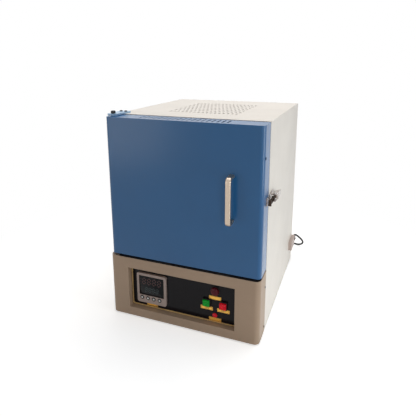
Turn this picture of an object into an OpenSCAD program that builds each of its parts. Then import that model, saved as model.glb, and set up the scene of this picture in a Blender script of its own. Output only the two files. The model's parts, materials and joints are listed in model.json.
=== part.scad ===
// Front-loading jewellery kiln: sheet-metal cabinet, hinged insulated door, draw latch,
// recessed control panel, fibre-lined chamber and mains lead.
// The origin is the middle of the kiln's outline at the foot of the feet, with the lead left out,
// and the front looks along -Y.

/* [Cabinet] */
// Width over the sides
cabinet_w = 460; // [440:2:500]
// Depth from the front panel to the back
cabinet_d = 540; // [530:2:580]
// Height without the feet
cabinet_h = 606; // [600:2:640]
// Height of the base below the door
base_h = 189; // [186:1:192]
// Thickness of the sheet steel
sheet_t = 1.5; // [1.2:0.1:1.6]
// Radius of the front corners of the base
base_corner_r = 15; // [10:1:20]
// Distance from the front panel back to the casing
casing_set = 70; // [70:1:76]
// Standing height of the rubber feet
foot_h = 4; // [3:0.5:8]
// Radius of the rubber feet
foot_r = 15; // [10:1:18]
// Distance of the feet from the side and back faces
foot_inset = 36; // [30:1:50]

/* [Top vents] */
// Columns of slots in the top
vent_columns = 17; // [11:2:19]
// Rows of slots in the top
vent_rows = 7; // [3:1:7]
// Spacing of the columns
vent_pitch_x = 13.2; // [12:0.2:14]
// Spacing of the rows
vent_pitch_y = 38; // [30:1:40]
// Length of a slot
vent_len = 18; // [12:1:20]
// Width of a slot
vent_w = 4.4; // [3:0.2:5]
// Middle of the vent field, back from the front panel
vent_y = 292; // [285:1:300]

/* [Door] */
// Thickness of the door
door_t = 62; // [58:1:62]
// Distance of the door face behind the base face
door_set = 4; // [3:0.5:5]
// Gap between the base and the door
door_gap = 6; // [6:0.5:8]
// Gap above the door
door_top_gap = 1; // [1:0.1:1.2]
// Inset of the door from the left side
door_left_inset = 4; // [3:0.5:5]
// Radius of the vertical front edges of the door
door_corner_r = 12; // [8:1:14]
// Distance of the hinge axis from the left side
hinge_in = 13; // [13:0.5:18]
// Distance of the hinge axis behind the door face
hinge_back = 30; // [29:0.5:31]
// Slots in the top and bottom lips of the door
lip_slots = 19; // [11:2:21]
// Spacing of the lip slots
lip_pitch = 14; // [13:0.5:15]
// Length of a lip slot
lip_slot_len = 38; // [30:1:42]
// Width of a lip slot
lip_slot_w = 4; // [3:0.5:5]
// Radius of the small hole in the right edge of the door
edge_hole_r = 2; // [1.5:0.5:3]
// Height of the small hole below the top of the door
edge_hole_drop = 84; // [70:1:100]

/* [Handle] */
// Overall height of the handle
handle_h = 131; // [110:1:140]
// Distance that the handle stands off the door
handle_out = 36; // [30:1:42]
// Width of the handle bar
handle_w = 14; // [12:1:16]
// Thickness of the handle bar
handle_t = 9; // [8:0.5:11]
// Distance of the handle from the right side
handle_in = 83; // [70:1:100]
// Middle of the handle above the base of the cabinet
handle_z = 410; // [390:1:430]

/* [Hinges] */
// Width of a hinge bracket
bracket_w = 32; // [28:1:32]
// Thickness of a hinge bracket
bracket_t = 5; // [4.5:0.1:5]
// Length of the upper bracket behind the hinge axis
bracket_tail = 68; // [60:1:76]
// Length of the lower bracket behind the hinge axis
lower_tail = 33; // [31:1:34]
// Radius of the pivot bolts
pivot_r = 4; // [3.5:0.5:5]
// Running clearance of the pivot bolts
pivot_clear = 0.05; // [0.03:0.01:0.08]
// Radius of the heads of the pivot bolts
pivot_head_r = 6.5; // [6:0.5:8]
// Height of the heads of the pivot bolts
pivot_head_h = 8; // [5:0.5:9]
// Depth of the bushes in the door
bush_len = 18; // [14:1:24]
// Wall of the bushes
bush_wall = 2; // [1.5:0.5:3]

/* [Latch] */
// Middle height of the latch above the base of the cabinet
latch_z = 398; // [384:1:410]
// Distance of the lever pivot behind the front panel
latch_y = 91; // [91:1:98]
// Distance of the lever pivot off the side
latch_out = 12; // [11.5:0.5:13]
// Distance between the lever pivot and the link pin
latch_crank = 13.5; // [13:0.5:15]
// Angle of the crank inside the pull line when closed
latch_over = 8; // [6:1:8]
// Length of the lever behind its pivot
lever_len = 54; // [46:1:66]
// Outer width of the lever at the pivot
lever_w = 21.6; // [21.6:0.2:24]
// Outer width of the lever at the tip
lever_tip_w = 11; // [9:0.5:14]
// Radius of the latch pins
pin_r = 2; // [1.6:0.1:2.2]
// Height that the strike stands off the door
strike_out = 8; // [7:0.5:8.5]
// Depth that the closed hook reaches behind the strike
hook_bite = 2.6; // [2:0.2:2.8]

/* [Front window] */
// Width of the window in the front panel
window_w = 331; // [321:1:341]
// Height of the window
window_h = 130; // [126:1:136]
// Offset of the window from the middle of the cabinet
window_x = -5; // [-10:1:5]
// Middle of the window above the base of the cabinet
window_z = 92; // [88:1:96]
// Depth of the window
window_depth = 20; // [18:1:24]
// Width of the lip at the foot of the window
window_lip = 3; // [2:0.5:4]
// Thickness of the control panel
panel_t = 2; // [1.5:0.5:3]

/* [Controller] */
// Size of the square bezel
bezel_w = 96; // [96:1:98]
// Height of the bezel over the panel
bezel_h = 8; // [7:0.5:10]
// Corner radius of the bezel
bezel_r = 6; // [3:0.5:8]
// Middle of the controller from the middle of the cabinet
controller_x = -101.5; // [-105:0.5:-98]
// Middle of the controller above the base of the cabinet
controller_z = 91.5; // [90:0.5:93]
// Size of the square case behind the panel
case_w = 92; // [88:1:92]
// Depth of the case
case_d = 90; // [70:1:110]
// Width of the display
display_w = 82; // [76:1:84]
// Height of the display
display_h = 63; // [56:1:63]
// Middle of the display above the middle of the bezel
display_up = 8.5; // [8:0.5:9]
// Radius of a key
key_r = 5; // [4:0.5:5.5]
// Spacing of the keys
key_pitch = 19.4; // [17:0.2:20]
// Distance of the keys below the middle of the bezel
key_drop = 31.5; // [31:0.5:34]
// Travel of a key
key_travel = 0.8; // [0.5:0.1:1]

/* [Buttons and lamps] */
// Middle of the group from the middle of the cabinet
group_x = 97.5; // [94:0.5:100]
// Spacing of the two buttons
button_pitch = 50; // [48:1:54]
// Height of the buttons above the base of the cabinet
button_z = 86; // [84:0.5:88]
// Size of a button cap
button_w = 19.4; // [18:0.2:20]
// Travel of a button
button_travel = 3; // [2:0.5:3]
// Wall of a button housing
housing_wall = 2; // [1.5:0.5:3]
// Radius of the large lamp
lamp_r = 12.5; // [11:0.5:13]
// Height of the large lamp above the base of the cabinet
lamp_z = 126; // [124:0.5:128]
// Radius of the small lamp
pilot_r = 7; // [6:0.5:8]
// Height of the small lamp above the base of the cabinet
pilot_z = 50; // [48:0.5:52]
// Width of a legend plate
legend_w = 37; // [34:1:38]
// Height of a legend plate
legend_h = 10.5; // [9:0.5:11]
// Thickness of a legend plate
legend_t = 0.8; // [0.5:0.1:1]

/* [Chamber] */
// Width of the chamber
chamber_w = 200; // [180:2:206]
// Height of the chamber
chamber_h = 280; // [260:2:284]
// Depth of the chamber
chamber_d = 301; // [260:1:310]
// Height of the rails that carry the chamber
rail_h = 14; // [12:1:18]
// Gap over the steel shell round the chamber
shell_gap = 17; // [15:1:22]
// Thickness of the side boards
side_t = 90; // [80:1:94]
// Thickness of the rear board
rear_t = 90; // [70:1:100]
// Depth of the tapered plug behind the front frame
plug_d = 38; // [30:1:40]
// Taper of the plug on each side
plug_taper = 8; // [8:0.5:10]
// Radius of a heating element
element_r = 4; // [3:0.5:5]
// Runs of each heating element
element_runs = 5; // [3:2:5]
// Spacing of the runs
element_pitch = 50; // [40:1:52]
// Thickness of the hearth plate
hearth_t = 10; // [8:1:14]

/* [Services] */
// Size of the cooling fan
fan_w = 80; // [70:1:80]
// Thickness of the fan
fan_t = 25; // [24:1:30]
// Middle of the fan from the middle of the cabinet
fan_x = -120; // [-130:1:-100]
// Middle of the fan above the base of the cabinet
fan_z = 90; // [80:1:100]
// Height that the inlet box stands off the side
inlet_out = 12; // [12:0.5:13]
// Length of the inlet box
inlet_len = 72; // [60:1:80]
// Height of the inlet box
inlet_h = 33; // [30:1:36]
// Middle of the inlet box above the base of the cabinet
inlet_z = 78.5; // [78:0.5:79]

/* [Mains lead] */
// Diameter of the cord
cord_d = 7; // [6.8:0.1:7.2]
// Turns in each layer of the coil
coil_turns = 3; // [2:1:3]
// Spacing of the turns
coil_pitch = 7.7; // [7.6:0.1:8]
// Radius of the outer turn
coil_outer_r = 53; // [52:1:55]

/* [Hidden] */
$fn = 48;
// Clearance between pieces that fit inside one another without moving
fit = 0.1;
// Clearance between pieces that slide past one another
slip = 0.3;
// Length that a cut runs past the face that it opens
past = 1;
// Sheet-metal screws: shank, head and the length below their plate
screw_r = 2.5;
screw_head_r = 4.5;
screw_head_h = 3;
screw_hold = 8;
t = sheet_t;
hw = cabinet_w / 2;
d = cabinet_d;
in_w = hw - t;
in_top = cabinet_h - t;
back_in = d - t;
tab_root = 8;
cable_hole_r = 6;
pan_edge = 10;
pan_lip = 20;
back_slots = 15;
back_slot_pitch = 14;
back_slot_len = 50;
back_slot_w = 5;
upper_slot_drop = 30;
lower_slot_rise = 45;
// Door
door_l = -hw + door_left_inset;
door_r = hw;
door_f = door_set;
door_b = door_set + door_t;
door_z0 = base_h + door_gap;
door_z1 = cabinet_h - door_top_gap;
hinge_x = -hw + hinge_in;
hinge_y = door_set + hinge_back;
bush_r = pivot_r + pivot_clear + bush_wall;
bush_flange = 0.7;
bush_flange_r = bush_r + 2;
bolt_shank = bracket_t + door_top_gap + bush_len + 2;
pivot_nut_h = 4;
hinge_screw_x = [hinge_x - 7, hinge_x + 9];
upper_screw_y = hinge_y + bracket_tail - 16;
lower_screw_y = hinge_y + lower_tail - 8;
handle_x = hw - handle_in;
handle_screw_gap = handle_h - handle_t;
handle_thread = 12;
lip_x = (door_l + door_r) / 2;
lip_y = door_f + door_t / 2 + 1;
edge_hole_y = door_f + 13;
wool_l = hinge_x + bush_flange_r + 2;
wool_r = door_r - 25;
wool_f = door_f + 22;
wool_edge = 20;
// Chamber, boards and the steel shell round them: the floor and roof boards share the height
// that the chamber leaves between the rails and the gap under the top
shelf_z = base_h;
floor_t = (in_top - shelf_z - rail_h - shell_gap - 3 * t - chamber_h) / 2;
chamber_z = shelf_z + rail_h + 2 * t + floor_t;
shell_w = chamber_w / 2 + side_t + t;
shell_z0 = chamber_z - floor_t - t;
shell_z1 = chamber_z + chamber_h + floor_t + t;
frame_t = 2;
frame_b = casing_set + frame_t;
chamber_b = frame_b + chamber_d;
shell_b = chamber_b + rear_t + t;
mid_z = chamber_z + chamber_h / 2;
mouth_gap = 0.5;
frame_gap = 6;
plug_w = chamber_w / 2 - mouth_gap;
plug_h = chamber_h / 2 - mouth_gap;
plug_b = frame_b + plug_d;
seal_t = casing_set - door_b - 0.4;
seal_w = 16;
seal_in = frame_gap + 3;
element_f = plug_b + 20;
element_b = chamber_b - 23;
element_z = mid_z - (element_runs - 1) / 2 * element_pitch;
element_out = shell_w + 12;
groove = 0.4;
bend_r = element_r - 0.8;
lead_hole_r = element_r + 2;
hearth_side = 10;
hearth_front = 10;
hearth_back = 14;
probe_r = 4;
probe_head_r = 11;
probe_head_len = 34;
probe_x = 0;
probe_z = chamber_z + chamber_h - 56;
probe_tip = chamber_b - 43;
rail_x = shell_w - 50;
rail_w = 20;
rail_f = frame_b + 18;
rail_b = shell_b - 5;
// Front panel
win_l = window_x - window_w / 2;
win_r = window_x + window_w / 2;
win_b = window_z - window_h / 2;
win_t = window_z + window_h / 2;
win_lip_r = 6;
panel_y = window_depth;
panel_edge = 10;
bezel_f = panel_y - bezel_h;
display_t = 1.4;
display_inset = 2;
key_shift = 2.5;
key_out = 1.2;
key_len = bezel_h + key_out - key_travel - 1;
cap_out = 10;
cap_r = 1.5;
housing_h = 6;
housing_r = 2;
housing_in = button_w + 2 * slip;
housing_w = housing_in + 2 * housing_wall;
housing_floor = 0.6;
cap_rest = panel_y - housing_floor - button_travel - 0.4;
shank_r = 7.8;
switch_back = 28;
lamp_collar = 1.5;
lamp_collar_h = 2;
lamp_side = 5;
lamp_round = 15;
lamp_neck_r = lamp_r - 1.5;
lamp_back = 30;
pilot_side = 3;
pilot_round = 9;
pilot_neck_r = pilot_r - 1;
pilot_back = 26;
legend_gap = 1;
seam_gap = 0.5;
tab_y0 = casing_set - 22;
seam_screw_y = casing_set - 8;
seam_screw_r = 1.5;
seam_screw_z = [18, base_h - 47];
seam_head_r = 3;
seam_head_h = 1.4;
// Latch, laid out from the lever pivot: u runs back along the side and v runs off the side
pivot_x = hw + latch_out;
cross_half = 20;
arm_in = 9.6;
arm_t = 1.2;
ear_in = 7.6;
ear_t = 1.6;
ear_r = pin_r + 2.6;
ear_foot = 7;
base_t = 1.6;
base_front = 20;
base_back = 24;
base_half = 13;
arm_v = 5;
web_u = 20;
arm_u = -6;
tip_v = 1;
pin_x = pivot_x - latch_crank * sin(latch_over);
pin_y = latch_y + latch_crank * cos(latch_over);
pin_end = 0.4;
rivet_head = 1.2;
rod_z = 4;
rod_r = 1.5;
strike_y = latch_y - 50;
strike_t = 2;
strike_front = 4;
strike_back = 14;
strike_half = 11;
strike_lip_half = 9;
claw_t = 2;
claw_half = 8;
claw_out = 3.5;
claw_gap = 0.6;
claw_b = strike_y - claw_gap;
claw_in = hw + strike_out - hook_bite;
trunnion_r = pin_r + 2.2;
trunnion_half = 6.4;
yoke_y = latch_y - 14;
yoke_t = 2;
yoke_half = 7;
yoke_out = 4;
collar_y = strike_y + strike_t + 1.2;
collar_t = 1;
collar_r = rod_r + 0.7;
spring_wire = 1;
spring_curls = 8;
spring_r = rod_r + 0.9;
running = 0.05;
// Power parts that stand on the pan
pan_top = 2 * t;
sink_x = 60;
sink_y = 200;
sink_w = 100;
sink_len = 100;
sink_t = 6;
fins = 7;
fin_pitch = 7;
fin_t = 2;
fin_h = 24;
relay_x = 112;
relay_y = 220;
relay_w = 45;
relay_len = 58;
relay_h = 24;
strip_x = 60;
strip_y = back_in - 108.5;
strip_w = 80;
strip_len = 25;
strip_h = 25;
strip_poles = 6;
strip_pitch = 13;
pole_w = 9;
pole_in = 3;
pole_len = 9;
pole_z = 12;
// Fan: frame, struts and rotor
grille_rim = 4;
grille_pitch = 8;
grille_w = 5;
grille_side = floor((fan_w / 2 - grille_rim - 1) / grille_pitch);
fan_y = back_in - fan_t;
fan_corner_r = 5;
duct_r = fan_w / 2 - 3;
fan_back_t = 4;
fan_back_r = 14;
strut_w = 4;
fan_pin_r = 2;
fan_hub_r = 15;
fan_hub_y = fan_y + 2;
blades = 7;
blade_t = 1.5;
blade_w = 18;
blade_from = 13;
blade_len = fan_w / 2 - 20.5;
blade_pitch = 35;
// Inlet, gland and strain relief
inlet_b = d;
inlet_f = d - inlet_len;
inlet_wall = 1.2;
gland_x = hw + 6;
gland_r = 9;
gland_nut = 8;
thread_r = 4.6;
relief_r = 7;
relief_len = 20;
cord_r = cord_d / 2;
relief_tip_r = cord_r + 1.5;
// Reach of the kiln without its lead, and the middle of that outline
reach_l = hinge_x - bracket_w / 2;
reach_r = pivot_x + arm_v + arm_t;
reach_f = door_f - handle_out;
mid_x = (reach_l + reach_r) / 2;
mid_y = (reach_f + d) / 2;
// Route of the lead from the strain relief to the coil: across, back, and share of its drop left
lead_steps = [
    [0, 0, 1], [0, 8, 1], [2, 18, 0.968], [7, 28, 0.88], [14, 38, 0.753], [21, 48, 0.614],
    [26, 59, 0.462], [27, 70, 0.31], [23, 80, 0.171], [14, 87, 0.07], [2, 93, 0.013],
    [-14, 99, 0], [-36, 104, 0], [-60, 107, 0], [-86, 108, 0], [-110, 108, 0], [-126, 108, 0]
];
floor_z = -foot_h;
exit_y = d + gland_nut + relief_len;
lead_z = floor_z + cord_r;
cord_pts = [for (p = lead_steps) [gland_x + p[0], exit_y + p[1], lead_z + p[2] * (inlet_z - lead_z)]];
// Middle of the coil, and the plug beside it
coil_c = cord_pts[len(cord_pts) - 1] - [0, coil_outer_r, 0];
plug_x = coil_c[0] + 40;
plug_z = floor_z + 9.5;
plug_wide = 46;
plug_long = 50;
plug_thick = 20;
plug_corner_r = 8;
plug_relief = 14;
earth_pin = [4, 20];
line_pin = [6, 18];
line_gap = 11;
pin_row = 18;

// Shared shapes

// Moves a shape from the cabinet's own frame, front panel at y 0 and base at z 0, to the record's
module at_body() {
    translate([-mid_x, -mid_y, foot_h]) children();
}

// A block between two corners
module block(x, y, z) {
    translate([x[0], y[0], z[0]]) cube([x[1] - x[0], y[1] - y[0], z[1] - z[0]]);
}

// A round rod along X, Y or Z from a point
module rod_x(p, r, len) {
    translate(p) rotate([0, 90, 0]) cylinder(r = r, h = len);
}
module rod_y(p, r, len) {
    translate(p) rotate([-90, 0, 0]) cylinder(r = r, h = len);
}
module rod_z(p, r, len) {
    translate(p) cylinder(r = r, h = len);
}

// A rectangle round its middle, with round corners
module round_rect(w, h, r) {
    square([w - 2 * r, h], center = true);
    square([w, h - 2 * r], center = true);
    for (sx = [-1, 1], sy = [-1, 1]) {
        translate([sx * (w / 2 - r), sy * (h / 2 - r)]) circle(r = r);
    }
}

// A slot with round ends along Y
module slot(len, w) {
    square([w, len - w], center = true);
    for (s = [-1, 1]) translate([0, s * (len - w) / 2]) circle(r = w / 2, $fn = 24);
}

// Extrudes a drawing of X and Z along Y
module along_y(ya, yb) {
    translate([0, yb, 0]) rotate([90, 0, 0]) linear_extrude(yb - ya) children();
}

// Extrudes a drawing of Y and Z along X
module along_x(xa, xb) {
    translate([xa, 0, 0]) rotate([90, 0, 90]) linear_extrude(xb - xa) children();
}

// Plan of a front sheet with rounded front corners, inset by a wall
module front_plan(x0, x1, ya, yb, r, inset, back) {
    xa = x0 + inset;
    xb = x1 - inset;
    yf = ya + inset;
    ri = r - inset;
    translate([xa + ri, yf]) square([xb - xa - 2 * ri, yb - yf + back]);
    translate([xa, yf + ri]) square([xb - xa, yb - yf - ri + back]);
    translate([xa + ri, yf + ri]) circle(r = ri);
    translate([xb - ri, yf + ri]) circle(r = ri);
}

// Cabinet

// Rows of vent slots in plan
module vent_field() {
    for (i = [0 : vent_columns - 1], j = [0 : vent_rows - 1]) {
        translate([
            (i - (vent_columns - 1) / 2) * vent_pitch_x,
            vent_y + (j - (vent_rows - 1) / 2) * vent_pitch_y
        ]) slot(vent_len, vent_w);
    }
}

module casing_shell() color("ivory") at_body() {
    difference() {
        union() {
            difference() {
                block([-hw, hw], [casing_set, d], [0, cabinet_h]);
                block([-in_w, in_w], [casing_set - past, d + past], [-past, in_top]);
            }
            for (s = [-1, 1]) {
                xa = s > 0 ? in_w - t : -in_w;
                block([xa, xa + t], [tab_y0, casing_set], [2 * t + fit, base_h - 2 * t]);
                block([xa, xa + t], [casing_set, casing_set + tab_root], [2 * t + fit, base_h - 2 * t]);
            }
        }
        translate([0, 0, in_top - past]) linear_extrude(t + 2 * past) vent_field();
        for (x = hinge_screw_x) rod_z([x, upper_screw_y, in_top - past], screw_r + fit, t + 2 * past);
        for (s = [-1, 1], z = seam_screw_z) {
            rod_x([s * hw - 2 * t - past, seam_screw_y, z], seam_screw_r + fit, 4 * t + 2 * past);
        }
        rod_x([in_w - past, inlet_f + inlet_len / 2, inlet_z], cable_hole_r, t + 2 * past);
    }
}

module base_front_panel() color([0.6, 0.53, 0.47]) at_body() {
    back = casing_set - seam_gap;
    difference() {
        linear_extrude(base_h) front_plan(-hw, hw, 0, back, base_corner_r, 0, 0);
        translate([0, 0, t]) {
            linear_extrude(base_h - 2 * t) front_plan(-hw, hw, 0, back, base_corner_r, t, past);
        }
        block([win_l, win_r], [-past, t + past], [win_b, win_t]);
        for (s = [-1, 1], z = seam_screw_z) {
            rod_x([s * hw - t - past, seam_screw_y, z], seam_screw_r + fit, 2 * t + 2 * past);
        }
        rod_z([hinge_x, hinge_y, base_h - t - past], pivot_r + fit, t + 2 * past);
        for (x = hinge_screw_x) {
            rod_z([x, lower_screw_y, base_h - t - past], screw_r + fit, t + 2 * past);
        }
    }
    difference() {
        block([win_l - t, win_r + t], [t, window_depth], [win_b - t, win_t + t]);
        block([win_l, win_r], [0, window_depth - t], [win_b, win_t]);
        along_y(0, window_depth + past) translate([window_x, window_z]) {
            round_rect(window_w - 2 * window_lip, window_h - 2 * window_lip, win_lip_r);
        }
    }
}

module base_pan() color("gainsboro") at_body() {
    block([-in_w + fit, in_w - fit], [base_corner_r, back_in - fit], [t, 2 * t]);
    for (s = [-1, 1]) {
        xa = s > 0 ? in_w - fit - t : -in_w + fit;
        block([xa, xa + t], [casing_set + pan_edge, back_in - pan_edge], [2 * t, pan_lip]);
    }
}

// Upright slots that fill a round field
module fan_grille() {
    for (i = [-grille_side : grille_side]) {
        reach = sqrt(pow(fan_w / 2 - grille_rim, 2) - pow(i * grille_pitch, 2));
        translate([fan_x + i * grille_pitch, fan_z]) slot(2 * reach, grille_w);
    }
}

module back_panel() color("ivory") at_body() {
    difference() {
        block([-in_w + fit, in_w - fit], [back_in, d], [0, in_top - fit]);
        along_y(back_in - past, d + past) {
            fan_grille();
            for (i = [0 : back_slots - 1], z = [shell_z1 - upper_slot_drop, shelf_z + lower_slot_rise]) {
                x = (i - (back_slots - 1) / 2) * back_slot_pitch;
                translate([x, z]) slot(back_slot_len, back_slot_w);
            }
        }
    }
}

module front_frame() color("silver") at_body() {
    difference() {
        block([-in_w + fit, in_w - fit], [casing_set, frame_b], [shelf_z, in_top - fit]);
        block(
            [-chamber_w / 2 - frame_gap, chamber_w / 2 + frame_gap],
            [casing_set - past, frame_b + past],
            [chamber_z - frame_gap, chamber_z + chamber_h + frame_gap]
        );
    }
}

module divider_shelf() color("gainsboro") at_body() {
    block([-in_w + fit, in_w - fit], [frame_b, back_in - fit], [shelf_z, shelf_z + t]);
    for (s = [-1, 1]) {
        xc = s * rail_x;
        block([xc - rail_w / 2, xc + rail_w / 2], [rail_f, rail_b], [shelf_z + t, shell_z0]);
    }
}

module inner_shell() color("silver") at_body() {
    difference() {
        block([-shell_w, shell_w], [frame_b, shell_b], [shell_z0, shell_z1]);
        block([-shell_w + t, shell_w - t], [frame_b - past, shell_b - t], [shell_z0 + t, shell_z1 - t]);
        rod_y([probe_x, shell_b - t - past, probe_z], probe_r + groove, t + 2 * past);
        for (s = [-1, 1], z = lead_heights()) {
            rod_x([s * shell_w - t - past, element_b, z], lead_hole_r, 2 * t + 2 * past);
        }
    }
}

// Fibre boards and what stands in the chamber

module floor_board() color("linen") at_body() {
    block([-shell_w + t, shell_w - t], [frame_b, shell_b - t], [shell_z0 + t, chamber_z]);
}

module roof_board() color("linen") at_body() {
    block([-shell_w + t, shell_w - t], [frame_b, shell_b - t], [chamber_z + chamber_h, shell_z1 - t]);
}

// Heights of the two leads of an element
function lead_heights() = [element_z, element_z + (element_runs - 1) * element_pitch];

// A serpentine element on one side wall, with its two leads out through the boards
module element(side) {
    x = side * chamber_w / 2;
    run = element_b - element_f + 2 * element_r;
    for (i = [0 : element_runs - 1]) {
        rod_y([x, element_f - element_r, element_z + i * element_pitch], element_r, run);
    }
    for (i = [0 : element_runs - 2]) {
        rod_z([x, bend_y(i), element_z + i * element_pitch], bend_r, element_pitch);
    }
    for (z = lead_heights()) {
        rod_x([side > 0 ? x : -element_out, element_b, z], bend_r, element_out - chamber_w / 2);
    }
}

// End at which a run of the element turns up to the next one
function bend_y(i) = i % 2 == 0 ? element_f : element_b;

// Square grooves round an element, and the holes for its leads
module element_grooves(side) {
    g = element_r + groove;
    x = [side * chamber_w / 2 - g, side * chamber_w / 2 + g];
    for (i = [0 : element_runs - 1]) {
        z = element_z + i * element_pitch;
        block(x, [element_f - g, element_b + g], [z - g, z + g]);
    }
    for (i = [0 : element_runs - 2]) {
        z = element_z + i * element_pitch;
        block(x, [bend_y(i) - g, bend_y(i) + g], [z, z + element_pitch]);
    }
    for (z = lead_heights()) {
        rod_x([side > 0 ? chamber_w / 2 : -shell_w, element_b, z], bend_r + groove, shell_w - chamber_w / 2);
    }
}

module side_boards() color("linen") at_body() {
    for (s = [-1, 1]) difference() {
        xa = s > 0 ? chamber_w / 2 : -shell_w + t;
        block([xa, xa + side_t], [frame_b, shell_b - t], [chamber_z, chamber_z + chamber_h]);
        element_grooves(s);
    }
}

module heating_elements() color("dimgray") at_body() {
    for (s = [-1, 1]) element(s);
}

module rear_board() color("linen") at_body() {
    difference() {
        block(
            [-chamber_w / 2, chamber_w / 2], [chamber_b, shell_b - t],
            [chamber_z, chamber_z + chamber_h]
        );
        rod_y([probe_x, chamber_b - past, probe_z], probe_r + groove, rear_t + 2 * past);
    }
}

module hearth_plate() color("tan") at_body() {
    block(
        [-chamber_w / 2 + hearth_side, chamber_w / 2 - hearth_side],
        [plug_b + hearth_front, chamber_b - hearth_back],
        [chamber_z, chamber_z + hearth_t]
    );
}

module thermocouple() color("whitesmoke") at_body() {
    rod_y([probe_x, probe_tip, probe_z], probe_r, shell_b + 5 - probe_tip);
    rod_y([probe_x, shell_b + slip, probe_z], probe_head_r, probe_head_len);
}

// Control panel

module control_panel() color([0.12, 0.11, 0.11]) at_body() {
    difference() {
        block(
            [win_l - panel_edge, win_r + panel_edge], [panel_y, panel_y + panel_t],
            [win_b - panel_edge, win_t + panel_edge]
        );
        along_y(panel_y - past, panel_y + panel_t + past) {
            translate([controller_x, controller_z]) square(case_w + 2 * slip, center = true);
            translate([group_x, lamp_z]) circle(r = lamp_neck_r + fit);
            translate([group_x, pilot_z]) circle(r = pilot_neck_r + fit);
            for (s = [-1, 1]) translate([group_x + s * button_pitch / 2, button_z]) {
                circle(r = shank_r + fit);
            }
        }
    }
}

// Place of a key from the middle of the bezel
function key_x(i) = controller_x - key_shift + (i - 1.5) * key_pitch;
function key_z() = controller_z - key_drop;

module controller_bezel() color([0.6, 0.53, 0.5]) at_body() {
    difference() {
        along_y(bezel_f, panel_y) translate([controller_x, controller_z]) {
            round_rect(bezel_w, bezel_w, bezel_r);
        }
        along_y(bezel_f - past, bezel_f + display_inset + display_t) {
            translate([controller_x, controller_z + display_up]) {
                square([display_w + 2 * fit, display_h + 2 * fit], center = true);
            }
        }
        for (i = [0 : 3]) rod_y([key_x(i), bezel_f - past, key_z()], key_r + slip, bezel_h + 2 * past);
    }
}

module controller_case() color([0.2, 0.2, 0.2]) at_body() {
    along_y(panel_y, panel_y + case_d) translate([controller_x, controller_z]) {
        square(case_w, center = true);
    }
}

module controller_display() color([0.1, 0.09, 0.1]) at_body() {
    along_y(bezel_f + display_inset, bezel_f + display_inset + display_t) {
        translate([controller_x, controller_z + display_up]) {
            square([display_w, display_h], center = true);
        }
    }
}

module key(i) color("white") at_body() {
    rod_y([key_x(i), bezel_f - key_out, key_z()], key_r, key_len);
}

// Places of the legend plates on the panel
function legend_at() = [
    [group_x, button_z + housing_w / 2 + legend_h / 2 + slip],
    [group_x - button_pitch / 2, button_z - housing_w / 2 - legend_h / 2 - legend_gap],
    [group_x + button_pitch / 2, button_z - housing_w / 2 - legend_h / 2 - legend_gap],
    [group_x, pilot_z - pilot_r - lamp_collar - legend_h / 2 - slip],
    [controller_x - 2, controller_z - bezel_w / 2 - legend_h / 2 - legend_gap]
];

module legend_plates() color([0.87, 0.7, 0.33]) at_body() {
    along_y(panel_y - legend_t, panel_y) {
        for (p = legend_at()) translate(p) round_rect(legend_w, legend_h, 1);
    }
}

// A lamp lens: a straight collar and side with a shallow dome in front
module lens(x, z, r, side, dome) {
    rise = dome - sqrt(dome * dome - r * r);
    translate([x, panel_y, z]) rotate([90, 0, 0]) {
        cylinder(r = r + lamp_collar, h = lamp_collar_h);
        cylinder(r = r, h = side);
        translate([0, 0, side + rise - dome]) intersection() {
            sphere(r = dome, $fn = 64);
            translate([0, 0, dome - rise - 0.5]) cylinder(r = r, h = rise + 1);
        }
    }
}

module dome_lamp() color([0.4, 0.08, 0.12]) at_body() lens(group_x, lamp_z, lamp_r, lamp_side, lamp_round);

module pilot_lamp() color("firebrick") at_body() lens(group_x, pilot_z, pilot_r, pilot_side, pilot_round);

module lamp_bodies() color([0.25, 0.25, 0.25]) at_body() {
    rod_y([group_x, panel_y, lamp_z], lamp_neck_r, lamp_back);
    rod_y([group_x, panel_y, pilot_z], pilot_neck_r, pilot_back);
}

module switch_bodies() color([0.85, 0.85, 0.83]) at_body() {
    for (s = [-1, 1]) translate([group_x + s * button_pitch / 2, 0, button_z]) {
        difference() {
            along_y(panel_y - housing_h, panel_y) round_rect(housing_w, housing_w, housing_r);
            along_y(panel_y - housing_h - past, panel_y - housing_floor) {
                square(housing_in, center = true);
            }
        }
        rod_y([0, panel_y, 0], shank_r, switch_back);
    }
}

// A button cap that slides in its housing
module button_cap(side) {
    translate([group_x + side * button_pitch / 2, 0, button_z]) {
        along_y(cap_out, cap_rest) round_rect(button_w, button_w, cap_r);
    }
}

module start_button() color("green") at_body() button_cap(-1);

module stop_button() color("red") at_body() button_cap(1);

// Hinges

// Plan of a bracket: a round nose at the pivot and a straight tail
module bracket_plan(tail) {
    translate([hinge_x, hinge_y]) circle(r = bracket_w / 2);
    translate([hinge_x - bracket_w / 2, hinge_y]) square([bracket_w, tail]);
}

module hinge_brackets() color([0.62, 0.76, 0.9]) at_body() {
    difference() {
        translate([0, 0, cabinet_h]) linear_extrude(bracket_t) bracket_plan(bracket_tail);
        rod_z([hinge_x, hinge_y, cabinet_h - past], pivot_r + pivot_clear, bracket_t + 2 * past);
        for (x = hinge_screw_x) {
            rod_z([x, upper_screw_y, cabinet_h - past], screw_r + fit, bracket_t + 2 * past);
        }
    }
    difference() {
        translate([0, 0, base_h]) linear_extrude(bracket_t) bracket_plan(lower_tail);
        rod_z([hinge_x, hinge_y, base_h - past], pivot_r + pivot_clear, bracket_t + 2 * past);
        for (x = hinge_screw_x) {
            rod_z([x, lower_screw_y, base_h - past], screw_r + fit, bracket_t + 2 * past);
            rod_z([x, lower_screw_y, base_h + bracket_t - screw_head_h], screw_head_r, screw_head_h + past);
        }
    }
}

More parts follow.
